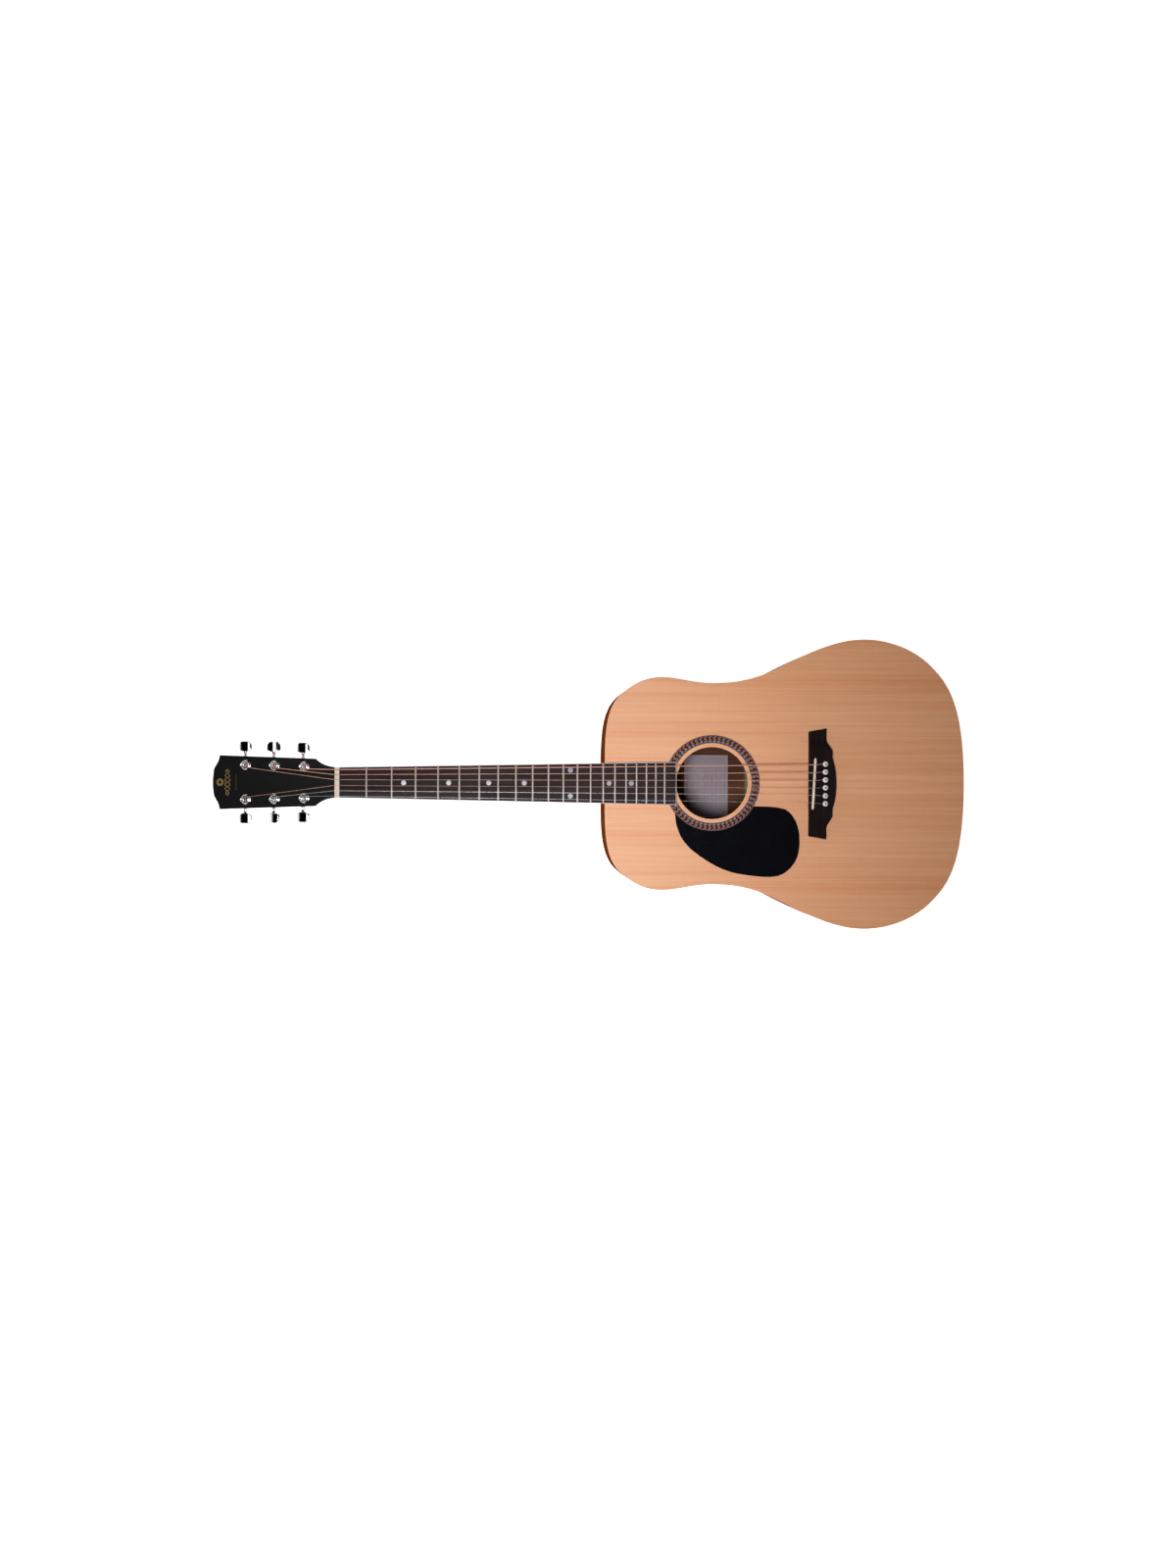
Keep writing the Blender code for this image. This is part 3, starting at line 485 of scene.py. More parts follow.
def two_tone(name, first, second, scale, roughness, stretch=(1, 1, 1), bump=None, **sockets):
    """A finish that drifts between two close colours, with matching changes of gloss."""
    paint = Paint(name, **sockets)
    place = paint.place(stretch)
    drift = paint.noise(place, scale, 4.0, 0.6)
    paint.feed("Base Color", paint.blend(paint.spread(drift, 0.3, 0.7), first, second))
    fine = paint.noise(place, scale * 6, 3.0, 0.6)
    paint.feed("Roughness", paint.spread(fine, 0.3, 0.7, *roughness))
    if bump:
        paint.bump(fine, *bump)
    return paint.material


def spruce(name):
    """Quarter-sawn and bookmatched: growth lines along x, silk across them, slow bands of tone."""
    paint = Paint(name, Coat_Weight=0.12, Coat_Roughness=0.35)
    split = paint.node("SeparateXYZ", {0: paint.node("TexCoord").outputs["Object"]})
    across = paint.calc("ABSOLUTE", paint.calc("ADD", split.outputs["Y"], 0.0004))
    matched = paint.node("CombineXYZ", {0: split.outputs["X"], 1: across, 2: split.outputs["Z"]})
    vector = matched.outputs[0]

    drift = paint.grain(vector, (1.6, 30, 1), 2.0, 0.5)
    wander = paint.calc("MULTIPLY_ADD", drift, 0.02, across)
    lines = paint.calc("SINE", paint.calc("MULTIPLY", wander, 2 * pi / SPRUCE_PITCH))
    lines = paint.calc("POWER", paint.spread(lines, -1, 1), 2.0)
    patchy = paint.grain(vector, (3, 240, 1))
    lines = paint.calc("MULTIPLY", lines, paint.spread(patchy, 0.35, 0.75))
    bands = paint.grain(vector, (0.9, 40, 1), 3.0, 0.55)
    streaks = paint.grain(vector, (3.2, 330, 1))
    silk = paint.grain(vector, (260, 34, 1))
    fibre = paint.grain(vector, (30, 1400, 1), 3.0, 0.65)
    base = paint.blend(paint.spread(bands, 0.3, 0.7), SPRUCE_PALE, SPRUCE_WARM)
    base = paint.blend(paint.spread(streaks, 0.42, 0.72, 0.0, 0.38), base, SPRUCE_LINE)
    base = paint.blend(paint.calc("MULTIPLY", lines, 0.24), base, SPRUCE_LINE)
    base = paint.blend(paint.spread(fibre, 0.3, 0.75, 0.0, 0.22), base, SPRUCE_LINE)
    base = paint.blend(paint.spread(silk, 0.35, 0.75, 0.0, 0.08), base, SPRUCE_SILK)
    seam = paint.calc("LESS_THAN", across, 0.00012)
    base = paint.blend(paint.calc("MULTIPLY", seam, 0.35), base, SPRUCE_LINE)
    paint.feed("Base Color", base)
    paint.feed("Roughness", paint.spread(fibre, 0.3, 0.7, 0.42, 0.54))
    height = paint.calc("ADD", paint.calc("MULTIPLY", lines, -0.5), fibre)
    paint.bump(height, 0.00004, 0.35)
    return paint.material


def open_pored(name, dark, mid, light, turn=(0, 0, 0), *, pores=0.5, roughness, specular=0.5):
    """Mahogany or rosewood: stripes along the grain, which is x before the turn, and dark pores."""
    paint = Paint(name, Coat_Roughness=0.3, Specular_IOR_Level=specular)
    place = paint.place((1, 1, 1), [radians(angle) for angle in turn])

    ribbon = paint.grain(place, (2.5, 42, 42), 4.0)
    stripe = paint.grain(place, (7, 260, 260))
    pore = paint.grain(place, (75, 1500, 1500), 2.0, 0.5)
    tone = paint.blend(paint.spread(ribbon, 0.32, 0.7), mid, light)
    tone = paint.blend(paint.spread(stripe, 0.42, 0.72, 0.0, 0.6), tone, dark)
    specks = paint.spread(pore, 0.56, 0.66, 0.0, pores)
    paint.feed("Base Color", paint.blend(specks, tone, dark))
    paint.feed("Roughness", paint.spread(stripe, 0.3, 0.7, *roughness))
    paint.bump(paint.calc("SUBTRACT", stripe, specks), 0.00006, 0.35)
    return paint.material


def brace_wood(name, angle, painted_shade=1.0):
    # painted_shade scales every tone down; below 1 the wood carries painted shade.
    tones = ((0.55, 0.38, 0.2), (0.72, 0.56, 0.34), (0.8, 0.64, 0.42))
    tones = [tuple(part * painted_shade for part in tone) for tone in tones]
    return open_pored(
        name, *tones, (0, 0, angle), pores=0.1, roughness=(0.7, 0.85), specular=0.3
    )


def wound(name, pitch):
    """Round-wound string: fine turns along x, the grooves between them darkened as painted shade.
    """
    paint = Paint(name, 0.45, 0.6)
    pale, deep = (0.74, 0.43, 0.33), (0.58, 0.31, 0.23)
    split = paint.node("SeparateXYZ", {0: paint.place()})
    turns = paint.calc("SINE", paint.calc("MULTIPLY", split.outputs["X"], 2 * pi / pitch))
    turns = paint.spread(turns, -1, 1)
    dull = paint.noise(paint.place((14, 200, 200)), 1.0, 3.0)
    crest = paint.blend(paint.spread(dull, 0.3, 0.7), pale, deep)
    # Grooves take the deep tone as painted shade between the turns; crests drift between pale and
    # deep at random.
    paint.feed("Base Color", paint.blend(turns, deep, crest))
    paint.bump(turns, 0.00005, 0.8)
    return paint.material


SPRUCE_PALE, SPRUCE_WARM = (0.82, 0.43, 0.235), (0.74, 0.31, 0.135)
SPRUCE_LINE, SPRUCE_SILK = (0.50, 0.17, 0.05), (0.85, 0.49, 0.29)
SPRUCE_PITCH = 0.0017                # metres between growth lines

WOODS = (                            # name, dark, middle and light tone, what else is set
    ("mahogany", (0.030, 0.006, 0.0012), (0.115, 0.024, 0.0035), (0.17, 0.040, 0.007),
     {"roughness": (0.45, 0.6), "specular": 0.0}),
    # Bare, matt mahogany inside the body, its tones also darkened as painted shade.
    ("mahogany_inside", (0.019, 0.005, 0.002), (0.071, 0.019, 0.007), (0.105, 0.032, 0.013),
     {"pores": 0.3, "roughness": (0.6, 0.75), "specular": 0.2}),
    ("mahogany_block", (0.12, 0.045, 0.025), (0.27, 0.11, 0.06), (0.33, 0.15, 0.085),
     {"turn": (0, 90, 0), "roughness": (0.65, 0.8)}),
    ("rosewood", (0.006, 0.0035, 0.004), (0.017, 0.0098, 0.0108), (0.031, 0.0175, 0.019),
     {"pores": 0.45, "roughness": (0.55, 0.7), "specular": 0.12}),
    ("bridge_wood", (0.003, 0.0015, 0.0015), (0.008, 0.0045, 0.005), (0.015, 0.007, 0.008),
     {"turn": (0, 0, 90), "roughness": (0.5, 0.65), "specular": 0.05}),
)
MATT = {"Specular_IOR_Level": 0.15}
FINISHES = (                         # name, two colours, scale, roughness, what else is set
    ("bone", (0.78, 0.66, 0.54), (0.85, 0.74, 0.62), 120, (0.28, 0.42), {}),
    ("binding", (0.60, 0.53, 0.53), (0.68, 0.61, 0.60), 90, (0.25, 0.4), {}),
    ("pin", (0.80, 0.74, 0.67), (0.86, 0.81, 0.75), 200, (0.18, 0.28), {}),
    ("pin_dot", (0.010, 0.012, 0.02), (0.02, 0.025, 0.04), 900, (0.15, 0.25), {}),
    ("scratch_plate", (0.0030, 0.0032, 0.0045), (0.0042, 0.0045, 0.0065), 30, (0.08, 0.13),
     {"bump": (0.00001, 0.03)}),
    ("black_face", (0.0035, 0.0035, 0.0035), (0.005, 0.005, 0.005), 45, (0.34, 0.42),
     {"stretch": (0.2, 1, 1), "bump": (0.00002, 0.1), "Specular_IOR_Level": 0.25}),
    ("gold", (0.30, 0.19, 0.06), (0.36, 0.235, 0.085), 220, (0.38, 0.5), {"metallic": 0.35}),
    ("chrome", (0.82, 0.82, 0.86), (0.88, 0.88, 0.90), 90, (0.04, 0.09), {"metallic": 1.0}),
    ("fret", (0.36, 0.325, 0.305), (0.44, 0.40, 0.375), 260, (0.42, 0.55), {"metallic": 0.55}),
    ("steel", (0.50, 0.50, 0.52), (0.60, 0.60, 0.62), 160, (0.25, 0.4), {"metallic": 1.0}),
    ("plain_string", (0.86, 0.86, 0.88), (0.94, 0.93, 0.93), 80, (0.25, 0.38), {"metallic": 0.7}),
    ("brass", (0.62, 0.42, 0.16), (0.70, 0.50, 0.22), 300, (0.25, 0.4), {"metallic": 1.0}),
    ("pearl", (0.26, 0.24, 0.31), (0.40, 0.36, 0.43), 420, (0.2, 0.32), {"bump": (0.00001, 0.1)}),
    ("paper", (0.26, 0.215, 0.245), (0.30, 0.25, 0.28), 160, (0.8, 0.9), {"bump": (0.00003, 0.2)}),
    ("ink", (0.155, 0.115, 0.12), (0.19, 0.145, 0.15), 300, (0.7, 0.8), {}),
    ("mosaic_ring", (0.085, 0.055, 0.075), (0.13, 0.088, 0.11), 900, (0.5, 0.6),
     {"stretch": (1, 1, 0.1), **MATT}),
    ("mosaic_black", (0.003, 0.002, 0.0025), (0.007, 0.005, 0.006), 500, (0.5, 0.6),
     {"Specular_IOR_Level": 0.1}),
    ("mosaic_brown", (0.25, 0.085, 0.052), (0.33, 0.13, 0.085), 700, (0.5, 0.6), MATT),
    ("mosaic_grey", (0.20, 0.15, 0.165), (0.27, 0.21, 0.225), 700, (0.5, 0.6), MATT),
)
MATERIALS = {
    "spruce": spruce("spruce_top"),
    **{name: open_pored(name, *tones, **more) for name, *tones, more in WOODS},
    "bracing": brace_wood("bracing", 0),
    # Braces inside the body, seen only through the sound hole: their wood is darkened to a quarter
    # as painted shade.
    "bracing_across_painted_shade": brace_wood("bracing_across_painted_shade", 90, 0.25),
    "bracing_plus": brace_wood("bracing_plus", -48),
    "bracing_minus": brace_wood("bracing_minus", 48),
    **{name: two_tone(name, *values, **more) for name, *values, more in FINISHES},
    **{f"wound_{name}": wound(f"wound_{name}", max(radius * 0.55, 0.12) * MM)
       for name, radius, *_ in STRINGS if name not in PLAIN},
}


# --- body

def make_soundboard():
    top = plate(
        "soundboard_top", [mirrored(HALF_OUTLINE), circle(*HOLE, HOLE_R, 160)],
        -SOUNDBOARD_T, 0, 1.2, BOARD,
    )
    outer = plate("channel", [circle(*HOLE, ROSETTE_OUT, 120), circle(*HOLE, ROSETTE_IN, 120)],
                  -1.5, 3, 0, BOARD)
    holes = [moved(cylinder("hole", PIN_HOLE_R, (PIN_X, pin_y, -9), (PIN_X, pin_y, 9), 24), BOARD)
             for pin_y in (string[4] for string in STRINGS)]
    top = cut(top, outer, *holes)
    dress(smooth(clean(top)), "spruce", replaces=["soundboard"])


def make_rosette():
    """Purfling rings round a band of diamonds and one of chevrons, all flush tiles in one ring."""
    units = 60
    rows = ((55.4, 0), (56.5, 0), (58.0, 0), (59.5, 0), (62.0, 0.42), (64.5, 0), (66.3, 0))
    paints = ["mosaic_ring", "mosaic_black", "mosaic_brown", "mosaic_grey"]
    ring, black, brown, grey = range(4)
    bm = bmesh.new()
    count = units * 2

    def row(radius, lead, height):
        made = []
        for i in range(count):
            a = 2 * pi * (i + lead * 2) / count
            spot = (HOLE.x + radius * cos(a), HOLE.y + radius * sin(a), height)
            made.append(bm.verts.new(Vector(spot) * MM))
        return made

    grid = [row(radius, lead, 0) for radius, lead in rows]
    low_in, low_out = row(rows[0][0], 0, -1.4), row(rows[-1][0], 0, -1.4)

    def face(material, *corners):
        bm.faces.new(corners).material_index = material

    for i in range(count):
        j = (i + 1) % count
        face(ring, grid[0][i], grid[0][j], grid[1][j], grid[1][i])
        for edge, middle in ((grid[1], grid[2]), (grid[3], grid[2])):
            if i % 2 == 0:
                face(grey, middle[i], edge[j], middle[j])
                face(black, edge[i], edge[j], middle[i])
            else:
                face(grey, edge[i], middle[j], middle[i])
                face(black, edge[i], edge[j], middle[j])
        band = brown if i % 2 == 0 else black
        face(band, grid[3][i], grid[3][j], grid[4][j], grid[4][i])
        face(band, grid[4][i], grid[4][j], grid[5][j], grid[5][i])
        face(ring, grid[5][i], grid[5][j], grid[6][j], grid[6][i])
        face(ring, grid[0][i], low_in[i], low_in[j], grid[0][j])
        face(ring, grid[6][i], grid[6][j], low_out[j], low_out[i])
        face(ring, low_in[i], low_out[i], low_out[j], low_in[j])
    obj = from_bmesh("rosette_mosaic", bm, BOARD)
    kinds = [polygon.material_index for polygon in obj.data.polygons]
    dress(obj, paints[0], replaces=["rosette"])
    for name in paints[1:]:
        obj.data.materials.append(MATERIALS[name])
    obj.data.polygons.foreach_set("material_index", kinds)


def resample(points, places):
    """Points at these distances along an open line."""
    lengths = [0]
    for before, after in zip(points, points[1:]):
        lengths.append(lengths[-1] + dist(before, after))
    made = []
    k = 0
    for place in places:
        while k < len(points) - 2 and lengths[k + 1] < place:
            k += 1
        t = (place - lengths[k]) / (lengths[k + 1] - lengths[k])
        made.append(tuple(a + (b - a) * t for a, b in zip(points[k], points[k + 1])))
    return made


def line_length(points):
    return sum(dist(before, after) for before, after in zip(points, points[1:]))


def make_side(name, sign):
    """A bent rib, with its kerfed linings as pieces of their own."""
    top, low = -SOUNDBOARD_T - HAIRLINE, BACK_T + HAIRLINE
    outer = [(HALF_OUTLINE[0][0], 0)] + HALF_OUTLINE[1:-1] + [(HALF_OUTLINE[-1][0], 0)]
    inner = inset(outer, SIDE_T)
    sections = []
    for (x0, y0), (x1, y1) in zip(outer, inner):
        y0, y1 = max(y0, 0.05), max(y1, 0.05)
        sections.append([
            (x0, sign * y0, top), (x1, sign * y1, top),
            (x1, sign * y1, back_z(x1, low)), (x0, sign * y0, back_z(x0, low)),
        ])
    rib = loft(f"{name}_rib", sections, BOARD)
    dress(level(smooth(rib)), "mahogany", replaces=[f"side_{name}"])

    # Linings run between the blocks; each kerf is a short thin stretch.
    clear_path = [point for point in HALF_OUTLINE if point[1] > 38]
    outer = inset(clear_path, SIDE_T)
    pitch, kerf, step = 8, 1.1, 0.02
    count = int(line_length(outer) / pitch)
    places, thick = [], []
    for i in range(count):
        start = i * pitch
        places += [start, start + pitch - kerf, start + pitch - kerf + step, start + pitch - step]
        thick += [True, True, False, False]
    path = resample(outer, places)
    deep, web = inset(path, LINING_W), inset(path, 0.9)
    for edge in ("top", "back"):
        sections = []
        for near, far, thin, full in zip(path, deep, web, thick):
            inner = far if full else thin
            if edge == "top":
                heights = (top, top, top - 6, top - LINING_H)
            else:
                near_z, inner_z = back_z(near[0], low), back_z(inner[0], low)
                heights = (near_z, inner_z, inner_z + 6, near_z + LINING_H)
            corners = (near, inner, inner, near)
            sections.append([(x, sign * y, z) for (x, y), z in zip(corners, heights)])
        lining = loft(f"{name}_{edge}_lining", sections, BOARD)
        dress(level(lining), "mahogany_block", replaces=[f"side_{name}"])


def make_back():
    """The back lies level: its outline is the body's, cut on the slant. Its inside is bare wood,
    darkened as painted shade.
    """
    half = [(x * BACK_STRETCH + BACK_SHIFT, y) for x, y in HALF_OUTLINE]
    back = plate("back_plate", [mirrored(half)], 0, BACK_T, 1.2, BACK)
    dress(smooth(back), "mahogany", replaces=["back"])
    back.data.materials.append(MATERIALS["mahogany_inside"])
    # Faces turned up, into the body, take the inside wood with its painted shade.
    for face in back.data.polygons:
        face.material_index = int(face.normal.z > 0.5)


def make_label():
    """A paper label inside the back, with a border and ruled lines in place of words."""
    centre = BOARD @ (Vector((515.75, -3.3, back_z(515.7, BACK_T))) * MM)
    half_x, half_y = 31.8, 44.9
    place = Matrix.Translation((centre.x, centre.y, (BACK_T + HAIRLINE) * MM))
    corners = [(-half_x, -half_y), (half_x, -half_y), (half_x, half_y), (-half_x, half_y)]
    paper = plate("label_paper", [corners], 0, 0.15, 0.05, place)
    dress(paper, "paper")
    margin, notch = 5, 5
    right, far = half_x - margin, half_y - margin
    border = []
    for corner_x, corner_y, first in (
        (right, far, 270), (-right, far, 0), (-right, -far, 90), (right, -far, 180),
    ):
        for i in range(7):
            a = radians(first - 15 * i)
            border.append((corner_x + notch * cos(a), corner_y + notch * sin(a), 0.15))
    lines = [wire("line", border + [border[0]], 0.3, place)]
    for x, reach in ((-18, 12), (-12, 20), (-2, 26), (2, 26), (9, 30), (15, 30), (21, 30)):
        ends = [(x, -reach, 0.15), (x, reach, 0.15)]
        lines.append(wire("line", ends, 0.22, place))
    dress(joined("label_lines", lines), "ink")


def bar(name, start, end, width, height, ends):
    """A tapered brace on the underside of the soundboard."""
    start, end = Vector(start), Vector(end)
    along = (end - start).normalized()
    across = Vector((-along.y, along.x)) * width / 2
    top = -SOUNDBOARD_T - 0.05
    reach = (end - start).length
    shape = ((-1, 0), (1, 0), (1, 0.75), (0.45, 1), (-0.45, 1), (-1, 0.75))
    sections = []
    steps = 24
    for i in range(steps + 1):
        t = i / steps
        middle = start + along * reach * t
        tall = ends + (height - ends) * min(1, 5 * t, 5 * (1 - t)) ** 1.5
        sections.append([
            (middle.x + across.x * side, middle.y + across.y * side, top - tall * z)
            for side, z in shape
        ])
    return smooth(loft(name, sections, BOARD))


def make_tone_bars():
    for number, (start, end) in enumerate((((640, 60), (760, -90)), ((690, 95), (800, -50))), 1):
        dress(bar(f"tone_bar_{number}", start, end, 7, 11, 2), "bracing")
    spots = ((612, 105, 70), (662, 118, 70), (612, -105, -70), (662, -118, -70))
    for number, (x, y, angle) in enumerate(spots, 1):
        way = Vector((cos(radians(angle)), sin(radians(angle)))) * 26
        middle = Vector((x, y))
        piece = bar(f"finger_brace_{number}", middle - way, middle + way, 6, 8, 2)
        dress(piece, "bracing")


# --- neck and head

NECK_END_X = 362.7
NECK_DEPTHS = (                      # x, and how deep the neck is there
    (4, 15.8), (22, 15), (90, 15.4), (160, 16), (230, 16.7), (280, 17.5), (304, 19.5), (320, 24.5),
    (333, 33), (343, 45), (351, 60), (357, 77), (NECK_END_X, 95),
)


def head_half_width(s):
    """Half-width of the head at this distance, in mm, from the nut."""
    for (s0, y0), (s1, y1) in zip(HEAD_EDGE, HEAD_EDGE[1:]):
        if s <= s1:
            return y0 + (y1 - y0) * (s - s0) / max(s1 - s0, 1e-6)
    return 0


def head_edge():
    """The bass edge of the head, in mm: distance from the nut, and half-width."""
    shoulder = bezier(((0, NUT_WIDTH / 2, 3, 0, 12), (*HEAD_CORNER, 43, 11, 0)), 14)
    tip = bezier(
        (
            (*HEAD_TIP_CORNER, -84, 0, 7), (174, 23.5, -58, 6, 5),
            (HEAD_TIP_S - 0.9, 13, -84, 5, 5), (HEAD_TIP_S, 0, -90, 7, 0),
        ),
        10,
    )
    return shoulder + tip


HEAD_EDGE = head_edge()


def neck_section(top, half, depth, round_y, round_z):
    """Half-turn of points round the underside, from one top corner to the other."""
    steps = 44
    made = []
    for i in range(steps + 1):
        a = pi * i / steps
        y = half * copysign(abs(cos(a)) ** round_y, cos(a))
        made.append((y, top - depth * sin(a) ** round_z))
    return made


def eased(stations, x):
    """Smooth curve through (x, value) pairs."""
    for i in range(len(stations) - 1):
        if x <= stations[i + 1][0]:
            break
    last = len(stations) - 1
    before, here, there, after = (stations[min(max(k, 0), last)] for k in range(i - 1, i + 3))
    slope0 = (there[1] - before[1]) / (there[0] - before[0])
    slope1 = (after[1] - here[1]) / (after[0] - here[0])
    span = there[0] - here[0]
    t = (x - here[0]) / span
    return (
        (2 * t ** 3 - 3 * t ** 2 + 1) * here[1] + (t ** 3 - 2 * t ** 2 + t) * span * slope0
        + (3 * t ** 2 - 2 * t ** 3) * there[1] + (t ** 3 - t ** 2) * span * slope1
    )


def make_neck():
    """Head, shaft and heel in one skin, from the tip of the head to the body."""
    sections = []
    spots = [HEAD_TIP_S - x for x in (0.02, 0.3, 0.9, 1.7, 2.7, 3.7, 4.7, 5.8, 7, 8.2, 9, 9.6, 10)]
    spots += [160, 140, 110, 80, 66, 60, 55, 50, 45, 40, 36, 33, 31, 29.3, 28.2, 27, 25.5, 24, 22]
    spots += [20, 17, 14, 11, 8, 5, 2.5, 0.9]
    for s in spots:
        square = min(max((s - 30) / 32, 0), 1)
        corner = 0.12 + 0.78 * (1 - square) ** 2
        half = max(head_half_width(s), 0.3)
        top = -HEADPLATE_T - HAIRLINE
        depth = HEAD_T + top + (1 - square) ** 2 * 0.8
        points = neck_section(top, half, depth, corner, corner)
        sections.append([HEAD_IN_BOARD @ Vector((-s, y, z)) for y, z in points])
    for x, lean in ((-6.2, 0.19), (-3.5, 0.12), (-0.5, 0.06)):
        points = neck_section(0, NUT_WIDTH / 2, 17 - (6.2 + x) * 0.1, 0.9, 0.82)
        sections.append([Vector((x - z * lean, y, z)) for y, z in points])
    x = NECK_DEPTHS[0][0]
    while x < NECK_END_X:
        points = neck_section(0, board_half_width(x), eased(NECK_DEPTHS, x), 1, 0.85)
        sections.append([Vector((x, y, z)) for y, z in points])
        x += 12 if x < 280 else 2.5
    points = neck_section(0, board_half_width(NECK_END_X), NECK_DEPTHS[-1][1], 1, 0.85)
    sections.append([Vector((NECK_END_X, y, z)) for y, z in points])
    neck = loft("neck_and_head", sections, BOARD)
    channel = box("channel", (13, -3.3, -12.8), (370, 3.3, 5), BOARD)
    neck = cut(neck, channel, *post_holes())
    dress(level(smooth(clean(neck), 30)), "mahogany", replaces=["neck"])


def post_holes():
    return [
        moved(cylinder("hole", 5.3, (post.x, post.y, -30), (post.x, post.y, 5)), HEAD)
        for post in POSTS.values()
    ]


def make_headplate():
    edge = [(-max(s, 1), y) for s, y in HEAD_EDGE if s > 0.99 or y == HEAD_EDGE[0][1]]
    outline = edge + [(x, -y) for x, y in edge[-2::-1]]
    cover = plate("headstock_face", [outline], -HEADPLATE_T, 0, 0.5, HEAD)
    cover = smooth(clean(cut(cover, *post_holes())))
    dress(cover, "black_face", replaces=["headplate"])


def make_ornament():
    """Generic gold inlay near the tip of the head: a roundel, a braid and a row of dots."""
    pieces = []
    centre = -167.6
    ring = circle(centre, 0, 5.3, 48)
    petals = []
    for i in range(64):
        a = 2 * pi * i / 64
        r = 1.3 + 1.7 * cos(2 * a) ** 2
        petals.append((centre + r * cos(a), r * sin(a)))
    pieces.append(plate("roundel", [ring, petals], -0.1, 0.12, 0.06, HEAD))
    steps = 120
    for phase in (0, pi):
        points, radii = [], []
        for i in range(steps + 1):
            t = 2 * i / steps - 1
            swing = 3.6 * (1 - t * t) ** 0.5
            points.append((-156.6 + swing * sin(3 * pi * t + phase), 18.5 * t, 0.02))
            radii.append(0.6 + 0.75 * abs(sin(3 * pi * t)))
        pieces.append(wire("braid", points, 0.62, HEAD, radii=radii))
    for i in range(9):
        dot = circle(-144, (i - 4) * 2.6, 0.55, 16)
        pieces.append(plate("dot", [dot], -0.1, 0.1, 0.05, HEAD))
    dress(joined("headstock_ornament", pieces), "gold")


def crown_z(x, y):
    """Height of the fretboard's cambered top."""
    half = board_half_width(x)
    return BOARD_EDGE_H + BOARD_CROWN * (1 - (y / half) ** 2)


def make_fretboard():
    steps = 24
    sections = []
    end = BOARD_END_X - BINDING_W
    for i in range(41):
        x = end * i / 40
        half = board_half_width(x) - BINDING_W
        section = [(x, -half, GAP), (x, half, GAP)]
        for k in range(steps + 1):
            y = half * (1 - 2 * k / steps)
            section.append((x, y, crown_z(x, y)))
        sections.append(section)
    wood = loft("fretboard_wood", sections, BOARD)
    dress(smooth(wood), "rosewood", replaces=["fretboard"])
    start_half, end_half = board_half_width(0), BOARD_END_WIDTH / 2
    outline = [
        (0, start_half), (BOARD_END_X, end_half), (BOARD_END_X, -end_half), (0, -start_half),
        (0, BINDING_W - start_half), (end, BINDING_W - end_half), (end, end_half - BINDING_W),
        (0, start_half - BINDING_W),
    ]
    strip = plate("fretboard_binding", [outline], GAP, BOARD_EDGE_H + 0.1, 0.3, BOARD)
    dress(smooth(strip), "binding", replaces=["fretboard"])
    for number in range(1, FRETS + 1):
        make_fret(number)
    for number in (3, 5, 7, 9, 15, 17):
        make_dot(f"dot_{number:02d}", number, 0)
    make_dot("dot_12_bass", 12, 17.7)
    make_dot("dot_12_treble", 12, -17.7)


def make_fret(number):
    """Fret wire: a rounded bead that follows the camber, its ends dressed at a slant."""
    x = fret_x(number)
    half = board_half_width(x) - 0.1
    rise = [(-1.2, -0.3), (-1.2, 0.1), (-1.1, 0.45), (-0.75, 0.8)]
    bead = rise + [(0, 0.98)] + [(-x, z) for x, z in reversed(rise)]
    ends = [(-half, 0.15), (-half + 0.35, 0.55), (-half + 0.9, 1)]
    places = ends + [(half * (k / 9 - 1) * 0.94, 1) for k in range(19)]
    places += [(-y, share) for y, share in reversed(ends)]
    sections = [
        [(x + dx, y, crown_z(x, y) + (dz * share if dz > 0 else dz)) for dx, dz in bead]
        for y, share in places
    ]
    wire_piece = loft(f"fret_{number:02d}", sections, BOARD)
    dress(smooth(wire_piece, 60, False), "fret", replaces=["fretboard"])


def make_dot(name, number, y):
    """An inlaid disc that follows the camber."""
    x = (fret_x(number) + fret_x(number - 1)) / 2
    bm = bmesh.new()
    rings = []
    for radius, lift in ((3.45, -0.5), (3.45, 0.01), (3.38, 0.03), (2.2, 0.035), (1.0, 0.035)):
        ring = []
        for px, py in circle(x, y, radius, 40):
            ring.append(bm.verts.new(Vector((px, py, crown_z(px, py) + lift)) * MM))
        rings.append(ring)
    bridge_rings(bm, rings)
    bm.faces.new(rings[-1])
    bm.faces.new(rings[0])
    dress(smooth(from_bmesh(name, bm, BOARD)), "pearl")


def make_nut():
    half = NUT_WIDTH / 2
    rear, front, top = NUT_BACK_X, NUT_FRONT_X, NUT_H + 0.75
    shape = (
        (rear, GAP), (front + 0.2, GAP), (front + 0.2, top - 0.3), (front - 0.1, top),
        (front - 1.8, top - 0.15), (front - 3.6, top - 0.6), (rear + 0.9, top - 1.5),
        (rear, top - 2.6),
    )
    places = (-half, -half + 0.4, half - 0.4, half)
    sections = []
    for y in places:
        share = 0.35 if abs(y) == half else 0
        sections.append([(x, y, z if z == GAP else z - share) for x, z in shape])
    nut = loft("nut_bone", sections, BOARD)
    slots = []
    for _, radius, y, _, _ in STRINGS:
        r = radius + 0.08
        floor = NUT_H + GAP + r
        low, high = (rear - 3, y, floor - 1.35), (front + 3, y, floor + 0.05)
        slots.append(moved(cylinder("groove", r, low, high, 16), BOARD))
    nut = cut(nut, *slots)
    dress(smooth(clean(nut), 30), "bone", replaces=["nut"])


# --- bridge and plates

